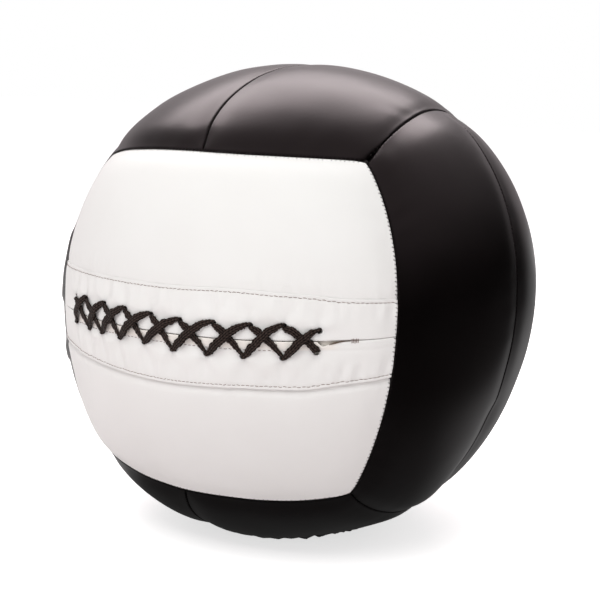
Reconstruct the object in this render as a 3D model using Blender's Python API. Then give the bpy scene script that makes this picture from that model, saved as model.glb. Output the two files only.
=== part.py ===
"""A stuffed wall ball: twelve padded vinyl panels, a laced opening on the white face and a weighted filling.

Blender 4.5 script. Metres, +Z up. The origin is on the floor, under the middle of the ball. The white laced
face looks along -Y, and +X is on the right of it.
"""
import math

import bpy
import bmesh
from mathutils import Vector
from mathutils.kdtree import KDTree

# The ball's shape
BALL_RADIUS = 0.175
FLAT_DEPTH = 0.0035  # how far its own weight presses the underside flat
SQUARENESS_SHARE = 0.041  # the faces lie a little flatter than the corners between them
SWELL_SHARE = 0.036  # the filling has moved towards one lower corner and away from the opposite one
SWELL_SPREAD_SHARE = 0.12
SWELL_SHARES = (-0.50, -0.48, -0.72)
SLUMP_SHARES = (0.79, 0.41, -0.46)

# The sewn panels
SKIN_THICKNESS = 0.0018
SEAM_GAP = 0.0003
SEAM_SINK = 0.0025  # how far the thread pulls a seam below the panels beside it
SEAM_SINK_WIDTH = 0.011
ALLOWANCE_DEPTH = 0.009  # the turned-in edge of each panel, measured from the ball's surface
FIT_GAP = 0.0003  # between any two pieces that lie against each other

# Where the seams run: corners of the six faces, as X and Z for a Y of one
CORNER_SHARES = (1.18, 1.18)
SEWN_CORNER_SHARES = {
    (1, -1, 1): (1.179, 1.312),
    (1, -1, -1): (1.160, 1.257),
    (-1, -1, 1): (1.363, 1.200),
    (-1, -1, -1): (0.968, 1.061),
}
# Each seam between two faces bows towards one of them, by the axis that it runs along
EDGE_BOW_DEG = (9.6, 8.0, 3.9)
# The seams in view have bows of their own: at the middle, and how much more towards the far end
OWN_BOW_DEG = {
    (0, -1, 1): (10.44, 0.32),
    (0, -1, -1): (6.35, -0.08),
    (1, -1, 0): (4.16, 1.74),
    (-1, -1, 0): (-3.75, 3.35),
    (1, 0, 1): (11.31, 2.95),
    (1, 0, -1): (8.47, -0.48),
}
# Where a face's middle seam meets the seam round it, measured from the middle of that seam
JUNCTION_SHARES = {
    (1, -1, 0): 0.0298,
    (-1, -1, 0): -0.0019,
    (1, 0, 1): 0.384,
    (1, 0, -1): 0.193,
    (0, -1, 1): 0.087,
    (0, -1, -1): -0.095,
}
LACED_SEAM_SAG_SHARE = -0.018

# The middle seams of three faces bow as well, towards the half with the higher coordinates
MIDDLE_BOW_DEG = {(2, 1): (-0.78, 5.47), (0, 1): (-14.58, 2.66), (2, -1): (-2.83, 7.97)}

# How finely the panels are divided, closer together beside a seam
PANEL_SHARES = (0.0, 0.06, 0.2, 0.42, 0.68, 0.9, 1.0)
PAD_SHARES = (0.0, 0.2, 0.42, 0.68, 0.9, 1.0)
STRIP_END_SHARE = PANEL_SHARES[2]
STRIP_CELLS = 20
STRIP_SHARES = (0.0, 0.3, 0.65, 1.0)

# The lacing strips
STRIP_HEIGHT = 0.030
SLIT_GAP = 0.0012
HEM_DEPTH = 0.0036  # a front panel's lower edge is folded double under the stitching

# The lace and its holes
LACE_WIDTH = 0.0065
LACE_THICKNESS = 0.0010
LACE_BUNCHED_WIDTH = 0.0022
LACE_GAP = 0.0007
HOLE_RADIUS = 0.0027
HOLE_OFFSET = 0.0097  # from the slit to a row of holes, as a mean of the hand-punched holes
UPPER_HOLE_SHARES = (1.10, 1.25, 1.24, 1.22, 1.12, 0.97, 1.03, 0.99, 0.99, 0.68)
LOWER_HOLE_SHARES = (0.64, 0.74, 0.75, 0.82, 0.82, 1.04, 1.08, 1.08, 1.09, 0.74)
ROW_START_SHARE = -0.692
ROW_END_SHARE = 0.655
COLUMN_SHARES = (0.0, 0.1, 0.198, 0.301, 0.414, 0.53, 0.654, 0.777, 0.893, 1.0)
HOLE_LEAN_SHARES = (-0.008, -0.019, 0.007, 0.017, 0.019, 0.019, 0.016, 0.014, 0.001, 0.005)
HOLE_SIDES = 10
KNOT_WIDTH = 0.0042
KNOT_THICKNESS = 0.0022

# The tongue under the strips
TONGUE_THICKNESS = 0.0012
TONGUE_LENGTH_SHARE = 0.9
TONGUE_SHARES = (-0.86, -0.68, -0.34, 0.0, 0.34, 0.68, 0.86)

# The foam pads, the inner bag and the filling
PAD_THICKNESS = 0.008
BAG_THICKNESS = 0.0010
BAG_RINGS = 5
ROUND_SEGMENTS = 20

# The weight in the middle
POUCH_RADIUS = 0.076
POUCH_THICKNESS = 0.0012
# Radius and height of the filled pouch's outline, from its bottom up to the shoulder, as shares of its radius
POUCH_BODY_SHARES = (
    (0.38, -0.925),
    (0.71, -0.704),
    (0.93, -0.368),
    (1.0, 0.0),
    (0.93, 0.368),
    (0.71, 0.704),
    (0.44, 0.9),
)
POUCH_NECK_SHARES = ((0.24, 1.0), (0.19, 1.12), (0.24, 1.26), (0.31, 1.4))
TIE_HEIGHT_SHARE = 1.12
TIE_RADIUS = 0.0018
TIE_SIDES = 6

X_AXIS, Y_AXIS, Z_AXIS = range(3)
FRONT, BACK = (Y_AXIS, -1), (Y_AXIS, 1)
TOP, BOTTOM = (Z_AXIS, 1), (Z_AXIS, -1)
RIGHT, LEFT = (X_AXIS, 1), (X_AXIS, -1)
PANELS = {
    "front_panel_upper": (FRONT, 1),
    "front_panel_lower": (FRONT, -1),
    "back_panel_upper": (BACK, 1),
    "back_panel_lower": (BACK, -1),
    "top_panel_right": (TOP, 1),
    "top_panel_left": (TOP, -1),
    "bottom_panel_right": (BOTTOM, 1),
    "bottom_panel_left": (BOTTOM, -1),
    "right_panel_back": (RIGHT, 1),
    "right_panel_front": (RIGHT, -1),
    "left_panel_back": (LEFT, 1),
    "left_panel_front": (LEFT, -1),
}
UP = Vector((0, 0, 1))


def ball_radius(direction):
    """Distance from the ball's centre to its surface."""
    fourth_powers = sum(value ** 4 for value in direction)
    towards_swell = direction.dot(Vector(SWELL_SHARES).normalized()) - 1
    towards_slump = direction.dot(Vector(SLUMP_SHARES).normalized()) - 1
    swell = math.exp(towards_swell / SWELL_SPREAD_SHARE) - math.exp(towards_slump / SWELL_SPREAD_SHARE)
    return BALL_RADIUS * (1 - SQUARENESS_SHARE * (fourth_powers - 0.6) + SWELL_SHARE * swell)


CENTRE = Vector((0, 0, ball_radius(-UP) - FLAT_DEPTH))


def at_depth(direction, depth, lowest=None):
    """The point at a depth under the ball's surface, kept above the floor where a height is given."""
    point = CENTRE + direction * (ball_radius(direction) - depth)
    if lowest is not None:
        point.z = max(point.z, lowest)
    return point


# Seams and panels as directions from the ball's centre

def corner(signs):
    across, upward = SEWN_CORNER_SHARES.get(signs, CORNER_SHARES)
    return Vector((signs[0] * across, signs[1], signs[2] * upward)).normalized()


def edge_direction(edge, place):
    """A point of the seam between two faces, which its signs name. It runs along the axis whose sign is 0."""
    along = edge.index(0)
    ends = []
    for sign in (-1, 1):
        signs = list(edge)
        signs[along] = sign
        ends.append(corner(tuple(signs)))
    junction = JUNCTION_SHARES.get(edge, 0.0)
    share = junction + place * (1 - junction if place >= 0 else 1 + junction)
    base = ends[0].slerp(ends[1], (1 + share) / 2)
    across = ends[0].cross(ends[1]).normalized()
    towards = (along + 1) % 3
    if across[towards] * edge[towards] < 0:
        across = -across
    middle_bow, further = OWN_BOW_DEG.get(edge, (EDGE_BOW_DEG[along], 0.0))
    bow = math.radians(middle_bow + further * place) * (1 - place * place)
    return base * math.cos(bow) + across * math.sin(bow)


def edge_of(face, axis, sign):
    normal_axis, normal_sign = face
    signs = [0, 0, 0]
    signs[normal_axis] = normal_sign
    signs[axis] = sign
    return tuple(signs)


def seam_axis(face):
    """The axis that a face's middle seam runs along."""
    return (face[0] + 2) % 3


def half_axis(face):
    """The axis across a face's middle seam, towards its two halves."""
    return (face[0] + 1) % 3


def middle_seam(face, along):
    start = edge_direction(edge_of(face, seam_axis(face), -1), 0.0)
    finish = edge_direction(edge_of(face, seam_axis(face), 1), 0.0)
    direction = start.slerp(finish, (1 + along) / 2)
    if face == FRONT:
        direction = direction + UP * (LACED_SEAM_SAG_SHARE * (1 - along * along))
    middle_bow, further = MIDDLE_BOW_DEG.get(face, (0.0, 0.0))
    bow = math.radians(middle_bow + further * along) * (1 - along * along)
    across = start.cross(finish).normalized()
    if across[half_axis(face)] < 0:
        across = -across
    return (direction * math.cos(bow) + across * math.sin(bow)).normalized()


def panel_direction(panel, along, across):
    """A point of a half face: from -1 to 1 along its middle seam, and from 0 there to 1 at its far edge."""
    face, half = panel
    far = edge_of(face, half_axis(face), half)
    blend = middle_seam(face, along) * (1 - across) + edge_direction(far, along) * across
    for sign in (-1, 1):
        side = edge_of(face, seam_axis(face), sign)
        run = (1 + sign * along) / 2
        blend += edge_direction(side, half * across) * run
        blend -= edge_direction(side, 0.0) * (run * (1 - across))
        blend -= edge_direction(side, half) * (run * across)
    return blend.normalized()


def panel_spans(panel):
    """Half the length of a panel's middle seam, and the way from it to the far edge."""
    face, half = panel
    far = edge_of(face, half_axis(face), half)
    length = middle_seam(face, -1).angle(middle_seam(face, 1)) * BALL_RADIUS
    width = middle_seam(face, 0).angle(edge_direction(far, 0.0)) * BALL_RADIUS
    return length / 2, width


def seam_sink(panel, along, across):
    """How far a panel is drawn in there by the seams round it. The laced opening draws nothing in."""
    half_length, width = panel_spans(panel)
    ways = [(1 - abs(along)) * half_length, (1 - across) * width]
    if panel[0] != FRONT:
        ways.append(across * width)
    return SEAM_SINK * math.exp(-((min(ways) / SEAM_SINK_WIDTH) ** 2))


def strip_share(panel, along):
    """How much of a white half face its lacing strip takes up."""
    middle = STRIP_HEIGHT / panel_spans(panel)[1]
    return STRIP_END_SHARE + (middle - STRIP_END_SHARE) * (1 - along * along)


def beyond_strip(shares):
    """Those of a panel's shares that its lacing strip leaves, counted from the strip."""
    return [(share - STRIP_END_SHARE) / (1 - STRIP_END_SHARE) for share in shares if share >= STRIP_END_SHARE]


# Meshes

def new_object(name, bm, material):
    bmesh.ops.recalc_face_normals(bm, faces=bm.faces)
    mesh = bpy.data.meshes.new(name)
    bm.to_mesh(mesh)
    bm.free()
    mesh.shade_smooth()
    mesh.set_sharp_from_angle(angle=math.radians(40))
    mesh.materials.append(material)
    made = bpy.data.objects.new(name, mesh)
    bpy.context.scene.collection.objects.link(made)
    return made


def add_grid(bm, rows):
    """Vertices and quads of a sheet of points, returned as rows of vertices."""
    grid = [[bm.verts.new(point) for point in row] for row in rows]
    for low, high in zip(grid, grid[1:]):
        for i in range(len(low) - 1):
            bm.faces.new((low[i], low[i + 1], high[i + 1], high[i]))
    return grid


def border(grid):
    """The outer ring of a sheet, once round."""
    ring = list(grid[0])
    ring += [row[-1] for row in grid[1:]]
    ring += list(reversed(grid[-1][:-1]))
    ring += [row[0] for row in reversed(grid[1:-1])]
    return ring


def join_rings(bm, first, second):
    for i in range(len(first)):
        j = (i + 1) % len(first)
        bm.faces.new((first[i], first[j], second[j], second[i]))


def inset(shares, margin):
    """The shares with the first and the last drawn in."""
    return [shares[0] + margin] + list(shares[1:-1]) + [shares[-1] - margin]


def mirrored(shares):
    return [-share for share in reversed(shares[1:])] + list(shares)


class Sheet:
    """A stretch of one panel, with the ways along it and across it where its points lie."""

    def __init__(self, panel, along_shares, across_shares, low=None, high=None):
        self.panel = panel
        self.along_shares = along_shares
        self.across_shares = across_shares
        self.low = low or (lambda along: 0.0)
        self.high = high or (lambda along: 1.0)

    def rows(self, margin, depth, lowest, sunk=True):
        """Rows of points drawn in by a margin. The depth is a length, or a function of a row's number."""
        half_length, width = panel_spans(self.panel)
        height = width * (self.high(0) - self.low(0))
        rows = []
        for number, share in enumerate(inset(self.across_shares, margin / height)):
            row = []
            for along in inset(self.along_shares, margin / half_length):
                across = self.low(along) + (self.high(along) - self.low(along)) * share
                deep = depth(number) if callable(depth) else depth
                if sunk:
                    deep += seam_sink(self.panel, along, across)
                row.append(at_depth(panel_direction(self.panel, along, across), deep, lowest))
            rows.append(row)
        return rows


def panel_skin(name, sheet, material, foot_depths=None):
    """A sewn panel: its outer and inner face, and the turned-in edge between them if foot depths are given.

    The foot depths are those of the near edge and of the other three edges."""
    bm = bmesh.new()
    edge_margin = SEAM_GAP / 2
    outer = add_grid(bm, sheet.rows(edge_margin, 0.0, 0.0))
    if not foot_depths:
        inner = add_grid(bm, sheet.rows(edge_margin, SKIN_THICKNESS, SKIN_THICKNESS))
        join_rings(bm, border(outer), border(inner))
        return new_object(name, bm, material)
    near, others = foot_depths
    inner_margin = edge_margin + SKIN_THICKNESS
    inner = add_grid(bm, sheet.rows(inner_margin, SKIN_THICKNESS, SKIN_THICKNESS))
    rings = [border(outer)]
    for margin in (edge_margin, inner_margin):
        foot = sheet.rows(margin, lambda number: near if number == 0 else others, 0.0, sunk=False)
        rings.append([bm.verts.new(point) for point in border(foot)])
    rings.append(border(inner))
    for first, second in zip(rings, rings[1:]):
        join_rings(bm, first, second)
    return new_object(name, bm, material)


def closed_sheet(name, outer_rows, inner_rows, material):
    bm = bmesh.new()
    outer = add_grid(bm, outer_rows)
    inner = add_grid(bm, inner_rows)
    join_rings(bm, border(outer), border(inner))
    return new_object(name, bm, material)


# The white face: strips, holes and tongue

def laced_panel(half):
    return (FRONT, half)


def facet_sag(radius, angle):
    """How far a flat facet that spans an angle lies inside the round surface."""
    return radius * (1 - math.cos(angle / 2))


def strip_sag():
    """The same for one facet of a lacing strip or of the tongue."""
    length = middle_seam(FRONT, -1).angle(middle_seam(FRONT, 1)) * BALL_RADIUS / STRIP_CELLS
    height = STRIP_HEIGHT * max(high - low for low, high in zip(STRIP_SHARES, STRIP_SHARES[1:]))
    return facet_sag(BALL_RADIUS, math.hypot(length, height) / BALL_RADIUS)


def link_depth(layer):
    """Depth of the lace's two layers behind the strips."""
    first = SKIN_THICKNESS + strip_sag() + FIT_GAP + LACE_THICKNESS / 2
    return first + layer * (LACE_THICKNESS + LACE_GAP)


def tongue_depth():
    return link_depth(1) + LACE_THICKNESS / 2 + FIT_GAP


def pocket_depth():
    """Depth of the foam behind the tongue."""
    return tongue_depth() + TONGUE_THICKNESS + strip_sag() + FIT_GAP


def row_direction(along, offset):
    """A point of the white face, a length above or below its laced seam."""
    on_seam = middle_seam(FRONT, along)
    upward = (UP - on_seam * on_seam.dot(UP)).normalized()
    angle = offset / BALL_RADIUS
    return on_seam * math.cos(angle) + upward * math.sin(angle)


def hole_place(column, half):
    """Where a lace hole is: its share along the seam, and its length above or below it."""
    share = ROW_START_SHARE + (ROW_END_SHARE - ROW_START_SHARE) * COLUMN_SHARES[column]
    own = UPPER_HOLE_SHARES if half > 0 else LOWER_HOLE_SHARES
    return share + half * HOLE_LEAN_SHARES[column], half * HOLE_OFFSET * own[column]


def hole_cutter(half):
    """One pin for each hole of a strip, square to the ball's surface."""
    bm = bmesh.new()
    for column in range(len(COLUMN_SHARES)):
        direction = row_direction(*hole_place(column, half))
        turn = direction.to_track_quat("Z", "Y").to_matrix().to_4x4()
        turn.translation = at_depth(direction, SKIN_THICKNESS / 2)
        bmesh.ops.create_cone(
            bm,
            cap_ends=True,
            segments=HOLE_SIDES,
            radius1=HOLE_RADIUS,
            radius2=HOLE_RADIUS,
            depth=3 * SKIN_THICKNESS,
            matrix=turn,
        )
    cutter = new_object("cutter_holes_" + ("upper" if half > 0 else "lower"), bm, materials["white_vinyl"])
    cutter.hide_render = True
    cutter.display_type = "WIRE"
    return cutter


def lacing_strip(name, half):
    panel = laced_panel(half)
    slit_share = (SLIT_GAP / 2) / panel_spans(panel)[1]
    along_shares = [2 * i / STRIP_CELLS - 1 for i in range(STRIP_CELLS + 1)]
    sheet = Sheet(
        panel,
        along_shares,
        STRIP_SHARES,
        low=lambda along: slit_share,
        high=lambda along: strip_share(panel, along),
    )
    strip = panel_skin(name, sheet, materials["white_vinyl"])
    holes = strip.modifiers.new("lace_holes", "BOOLEAN")
    holes.operation = "DIFFERENCE"
    holes.solver = "EXACT"
    holes.object = hole_cutter(half)
    return strip


def lacing_tongue():
    """The cloth under the slit: flat behind the lace, and up against the strips at its long edges."""
    edge = SKIN_THICKNESS + FIT_GAP
    depths = [edge] + [tongue_depth() - strip_sag()] * (len(TONGUE_SHARES) - 2) + [edge]
    sides = []
    for extra in (0.0, TONGUE_THICKNESS):
        rows = []
        for share, depth in zip(TONGUE_SHARES, depths):
            panel = laced_panel(1 if share >= 0 else -1)
            row = []
            for i in range(STRIP_CELLS + 1):
                along = TONGUE_LENGTH_SHARE * (2 * i / STRIP_CELLS - 1)
                across = abs(share) * strip_share(panel, along)
                deep = depth + strip_sag() + extra + seam_sink(panel, along, across)
                row.append(at_depth(panel_direction(panel, along, across), deep))
            rows.append(row)
        sides.append(rows)
    return closed_sheet("lacing_tongue", sides[0], sides[1], materials["liner"])


# The lace: one flat ribbon, right along the row and back again, outside in crosses and inside straight up

class Ribbon:
    def __init__(self):
        self.sections = []

    def add(self, along, offset, height, side, width, thickness=LACE_THICKNESS):
        """A section at a height over the ball's surface. Its side is the way that its width lies."""
        direction = row_direction(along, offset)
        point = CENTRE + direction * (ball_radius(direction) + height)
        rightward = UP.cross(direction).normalized()
        upward = direction.cross(rightward)
        self.sections.append((point, rightward * side[0] + upward * side[1], width, thickness))

    def build(self, name, material):
        bm = bmesh.new()
        rings = []
        for i, (point, side, width, thickness) in enumerate(self.sections):
            before = self.sections[max(i - 1, 0)][0]
            after = self.sections[min(i + 1, len(self.sections) - 1)][0]
            tangent = (after - before).normalized()
            side = (side - tangent * side.dot(tangent)).normalized()
            normal = tangent.cross(side)
            ring = []
            for a, b in ((-1, -1), (1, -1), (1, 1), (-1, 1)):
                ring.append(bm.verts.new(point + side * (a * width / 2) + normal * (b * thickness / 2)))
            rings.append(ring)
        for first, second in zip(rings, rings[1:]):
            join_rings(bm, first, second)
        bm.faces.new(rings[0])
        bm.faces.new(rings[-1])
        least = least_gap([[vertex.co.copy() for vertex in ring] for ring in rings])
        print(f"{name} clears itself by {1000 * least:.2f} mm")
        return new_object(name, bm, material)


def least_gap(rings, steps=5):
    """The least way between points of a tube's surface that lie further apart than that along it."""
    points = []
    walked = 0.0
    for first, second in zip(rings, rings[1:]):
        stride = (sum(second, Vector()) - sum(first, Vector())).length / len(first)
        for i in range(steps):
            ring = [a.lerp(b, i / steps) for a, b in zip(first, second)]
            for a, b in zip(ring, ring[1:] + ring[:1]):
                points += [(a.lerp(b, j / steps), walked + stride * i / steps) for j in range(steps)]
        walked += stride
    tree = KDTree(len(points))
    for number, (point, _) in enumerate(points):
        tree.insert(point, number)
    tree.balance()
    least = LACE_WIDTH
    for point, place in points:
        for _, number, way in tree.find_range(point, least):
            if abs(points[number][1] - place) > 2 * LACE_WIDTH:
                least = min(least, way)
    return least


def nested_offset(column, half, layer):
    """Where the lace's first pass or its return pass goes through a hole: one above the other."""
    step = (LACE_THICKNESS + LACE_GAP + LACE_THICKNESS / 2) / 2
    return hole_place(column, half)[1] + half * (step if layer else -step)


def outside_strand(ribbon, start_column, start_half, end_column, layer):
    """From a hole over the slit to the next column's opposite hole."""
    start = (hole_place(start_column, start_half)[0], nested_offset(start_column, start_half, layer))
    end = (hole_place(end_column, -start_half)[0], nested_offset(end_column, -start_half, layer))
    run = (end[0] - start[0]) * panel_spans(laced_panel(1))[0]
    rise = end[1] - start[1]
    length = math.hypot(run, rise)
    across = (-rise / length, run / length)
    if across[0] < 0:
        across = (-across[0], -across[1])
    level = FIT_GAP + LACE_THICKNESS / 2 + layer * (LACE_THICKNESS + LACE_GAP)
    straight = (1.0, 0.0)
    bunched = LACE_BUNCHED_WIDTH
    half_way = (LACE_WIDTH + bunched) / 2
    rise_shares = (
        (0.0, -SKIN_THICKNESS / 2, straight, bunched),
        (0.03, level, across, bunched),
        (0.1, level, across, half_way),
        (0.2, level, across, LACE_WIDTH),
        (0.34, level, across, LACE_WIDTH),
        (0.5, level, across, LACE_WIDTH),
    )
    fall_shares = [(1 - share, *rest) for share, *rest in reversed(rise_shares[:-1])]
    for share, height, side, width in [*rise_shares, *fall_shares]:
        along = start[0] + (end[0] - start[0]) * share
        ribbon.add(along, start[1] + rise * share, height, side, width)


def inside_link(ribbon, column, start_layer, end_layer):
    """Straight up behind the strips, from a column's lower hole to its upper one."""
    low = nested_offset(column, -1, start_layer)
    high = nested_offset(column, 1, end_layer)
    low_along = hole_place(column, -1)[0]
    high_along = hole_place(column, 1)[0]
    depth = link_depth(min(start_layer, end_layer))
    bend = LACE_THICKNESS
    for offset in (low + bend, (low + high) / 2, high - bend):
        along = low_along + (high_along - low_along) * (offset - low) / (high - low)
        ribbon.add(along, offset, -depth, (1.0, 0.0), LACE_BUNCHED_WIDTH)


def knotted_end(ribbon, half, layer, leaving):
    """The lace's end behind the strips, with the knot that keeps it from pulling through."""
    along = hole_place(0, half)[0]
    start = nested_offset(0, half, layer)
    depth = link_depth(0.5)
    bend = LACE_THICKNESS
    steps = [
        (start - half * bend, LACE_BUNCHED_WIDTH, LACE_THICKNESS),
        (start - half * (bend + LACE_THICKNESS), LACE_BUNCHED_WIDTH, LACE_THICKNESS),
        (start - half * (bend + 2 * LACE_THICKNESS), KNOT_WIDTH, KNOT_THICKNESS),
        (start - half * (bend + KNOT_WIDTH), KNOT_WIDTH, KNOT_THICKNESS),
        (start - half * (bend + KNOT_WIDTH + LACE_THICKNESS), LACE_BUNCHED_WIDTH, LACE_THICKNESS),
    ]
    for offset, width, thickness in steps if leaving else reversed(steps):
        ribbon.add(along, offset, -depth, (1.0, 0.0), width, thickness)


def lace():
    ribbon = Ribbon()
    last = len(COLUMN_SHARES) - 1
    knotted_end(ribbon, 1, 0, leaving=False)
    for column in range(last):
        outside_strand(ribbon, column, 1, column + 1, 0)
        inside_link(ribbon, column + 1, 0, 1 if column + 1 == last else 0)
    for column in range(last, 0, -1):
        outside_strand(ribbon, column, 1, column - 1, 1)
        if column > 1:
            inside_link(ribbon, column - 1, 1, 1)
    knotted_end(ribbon, -1, 1, leaving=True)
    return ribbon.build("lace", materials["lace"])


# Foam pads

def pad_face_depth():
    return SKIN_THICKNESS + 1.5 * FIT_GAP


def pad_depth():
    """Depth of a pad's inner face."""
    return pad_face_depth() + PAD_THICKNESS


def pad_margin():
    return SEAM_GAP / 2 + SKIN_THICKNESS + 2.5 * FIT_GAP


def foam_pad(name, panel):
    sheet = Sheet(panel, mirrored(PAD_SHARES), PAD_SHARES)
    outer = sheet.rows(pad_margin(), pad_face_depth(), pad_face_depth())
    inner = sheet.rows(pad_margin(), pad_depth(), None, sunk=False)
    return closed_sheet(name, outer, inner, materials["foam"])


def front_pad_rows(panel, along):
    """Where the rows of a white half face's pad lie across it, and how deep: the tongue's pocket first."""
    width = panel_spans(panel)[1]
    strip = strip_share(panel, along)
    rows = [(share, pocket_depth()) for share in (0.0, strip / 2, strip)]
    rows.append((strip + 2 * HEM_DEPTH / width, pad_face_depth() + FIT_GAP))
    rows += [(strip + (1 - strip) * share, pad_face_depth()) for share in beyond_strip(PAD_SHARES)[1:]]
    margin = pad_margin() / width
    return [(min(max(share, margin), 1 - margin), depth) for share, depth in rows]


def front_foam_pad(name, half):
    panel = laced_panel(half)
    margin = pad_margin() / panel_spans(panel)[0]
    columns = [(along, front_pad_rows(panel, along)) for along in inset(mirrored(PAD_SHARES), margin)]
    outer = []
    inner = []
    for number in range(len(columns[0][1])):
        outer.append([])
        inner.append([])
        for along, rows in columns:
            across, depth = rows[number]
            direction = panel_direction(panel, along, across)
            outer[-1].append(at_depth(direction, depth + seam_sink(panel, along, across)))
            inner[-1].append(at_depth(direction, pad_depth()))
    return closed_sheet(name, outer, inner, materials["foam"])


# The inner bag, its filling and the weight

def dome_rows(depth, half):
    """Rings of points from the level middle of the ball up to one pole, or down to it."""
    rings = []
    for ring in range(BAG_RINGS):
        height = math.pi / 2 * ring / BAG_RINGS
        points = []
        for segment in range(ROUND_SEGMENTS):
            turn = 2 * math.pi * segment / ROUND_SEGMENTS
            reach = math.cos(height)
            direction = Vector((reach * math.cos(turn), reach * math.sin(turn), half * math.sin(height)))
            points.append(at_depth(direction, depth))
        rings.append(points)
    return rings, at_depth(Vector((0, 0, half)), depth)


def lift_rim(rings, half):
    for point in rings[0]:
        point.z += half * FIT_GAP / 2


def add_dome(bm, rings, pole):
    made = [[bm.verts.new(point) for point in ring] for ring in rings]
    for first, second in zip(made, made[1:]):
        join_rings(bm, first, second)
    top = bm.verts.new(pole)
    last = made[-1]
    for i in range(len(last)):
        bm.faces.new((last[i], last[(i + 1) % len(last)], top))
    return made[0]


def bag_depth():
    """The bag lies inside the pads' flat facets."""
    widest = max(high - low for low, high in zip(PAD_SHARES, PAD_SHARES[1:]))
    half_length, width = (max(spans) for spans in zip(*(panel_spans(panel) for panel in PANELS.values())))
    angle = math.hypot(half_length * widest, width * widest) / BALL_RADIUS
    return pad_depth() + facet_sag(BALL_RADIUS, angle)


def bag_half(name, half):
    bm = bmesh.new()
    rims = []
    for depth in (bag_depth(), bag_depth() + BAG_THICKNESS):
        rings, pole = dome_rows(depth, half)
        lift_rim(rings, half)
        rims.append(add_dome(bm, rings, pole))
    join_rings(bm, *rims)
    return new_object(name, bm, materials["bag_cloth"])


def turned_ring(radius, height):
    turns = [2 * math.pi * segment / ROUND_SEGMENTS for segment in range(ROUND_SEGMENTS)]
    return [Vector((radius * math.cos(turn), radius * math.sin(turn), CENTRE.z + height)) for turn in turns]


def grown(outline, by):
    """An outline of radius and height, moved outwards by a length along its own normals."""
    points = []
    for i, (radius, height) in enumerate(outline):
        before = outline[max(i - 1, 0)]
        after = outline[min(i + 1, len(outline) - 1)]
        run = Vector((after[0] - before[0], after[1] - before[1])).normalized()
        points.append((radius + run.y * by, height - run.x * by))
    return points


def pouch_body():
    return [(radius * POUCH_RADIUS, height * POUCH_RADIUS) for radius, height in POUCH_BODY_SHARES]


def pouch_outline():
    neck = [(radius * POUCH_RADIUS, height * POUCH_RADIUS) for radius, height in POUCH_NECK_SHARES]
    return pouch_body() + neck


def add_turned(bm, outline, bottom):
    """Rings of an outline, closed below by a point."""
    made = [[bm.verts.new(point) for point in turned_ring(radius, height)] for radius, height in outline]
    for first, second in zip(made, made[1:]):
        join_rings(bm, first, second)
    low = bm.verts.new(Vector((0, 0, CENTRE.z + bottom)))
    for i in range(ROUND_SEGMENTS):
        bm.faces.new((made[0][i], made[0][(i + 1) % ROUND_SEGMENTS], low))
    return made[-1]


def weight_pouch():
    bm = bmesh.new()
    outer = add_turned(bm, pouch_outline(), -POUCH_RADIUS)
    inner_outline = grown(pouch_outline(), -POUCH_THICKNESS)
    inner_outline[-1] = (inner_outline[-1][0], pouch_outline()[-1][1])
    inner = add_turned(bm, inner_outline, -POUCH_RADIUS + POUCH_THICKNESS)
    join_rings(bm, outer, inner)
    return new_object("weight_pouch", bm, materials["pouch_cloth"])


def weight_sand():
    bm = bmesh.new()
    inside = POUCH_THICKNESS + FIT_GAP
    rim = add_turned(bm, grown(pouch_body(), -inside), -POUCH_RADIUS + inside)
    bm.faces.new(rim)
    return new_object("weight_sand", bm, materials["sand"])


def pouch_tie():
    """The cord round the pouch's neck."""
    neck = min(POUCH_NECK_SHARES)[0] * POUCH_RADIUS
    bm = bmesh.new()
    rings = []
    for side in range(TIE_SIDES):
        turn = 2 * math.pi * side / TIE_SIDES
        radius = neck + FIT_GAP + TIE_RADIUS * (1 + math.cos(turn))
        height = TIE_HEIGHT_SHARE * POUCH_RADIUS + TIE_RADIUS * math.sin(turn)
        rings.append([bm.verts.new(point) for point in turned_ring(radius, height)])
    for i in range(TIE_SIDES):
        join_rings(bm, rings[i], rings[(i + 1) % TIE_SIDES])
    return new_object("pouch_tie", bm, materials["lace"])


def cavity_outline():
    """The hollow in the filling that the pouch lies in, with room for its neck."""
    body = grown(pouch_body(), FIT_GAP)
    neck_top = POUCH_NECK_SHARES[-1]
    radius = neck_top[0] * POUCH_RADIUS + POUCH_THICKNESS
    return body + [(max(radius, body[-1][0]), neck_top[1] * POUCH_RADIUS + FIT_GAP)]


def filling_half(name, half):
    """Half of the fibre filling, with its half of the pouch's hollow."""
    bm = bmesh.new()
    rings, pole = dome_rows(bag_depth() + BAG_THICKNESS + FIT_GAP, half)
    lift_rim(rings, half)
    rim = add_dome(bm, rings, pole)
    level = half * FIT_GAP / 2
    outline = [(radius, height) for radius, height in cavity_outline() if height * half > abs(level)]
    widest = max(radius for radius, height in cavity_outline())
    outline = outline if half > 0 else list(reversed(outline))
    hollow = [turned_ring(widest, level)] + [turned_ring(radius, height) for radius, height in outline]
    made = [[bm.verts.new(point) for point in ring] for ring in hollow]
    for first, second in zip(made, made[1:]):
        join_rings(bm, first, second)
    if half > 0:
        bm.faces.new(made[-1])
    else:
        low = bm.verts.new(Vector((0, 0, CENTRE.z - POUCH_RADIUS - FIT_GAP)))
        for i in range(ROUND_SEGMENTS):
            bm.faces.new((made[-1][i], made[-1][(i + 1) % ROUND_SEGMENTS], low))
    join_rings(bm, rim, made[0])
    return new_object(name, bm, materials["fibre"])


def new_material(name, colour, roughness, metallic=0.0):
    material = bpy.data.materials.new(name)
    material.use_nodes = True
    shader = material.node_tree.nodes["Principled BSDF"]
    shader.inputs["Base Color"].default_value = (*colour, 1)
    shader.inputs["Roughness"].default_value = roughness
    shader.inputs["Metallic"].default_value = metallic
    material.diffuse_color = (*colour, 1)
    return material


def clear_scene():
    for item in list(bpy.data.objects):
        bpy.data.objects.remove(item, do_unlink=True)


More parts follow.
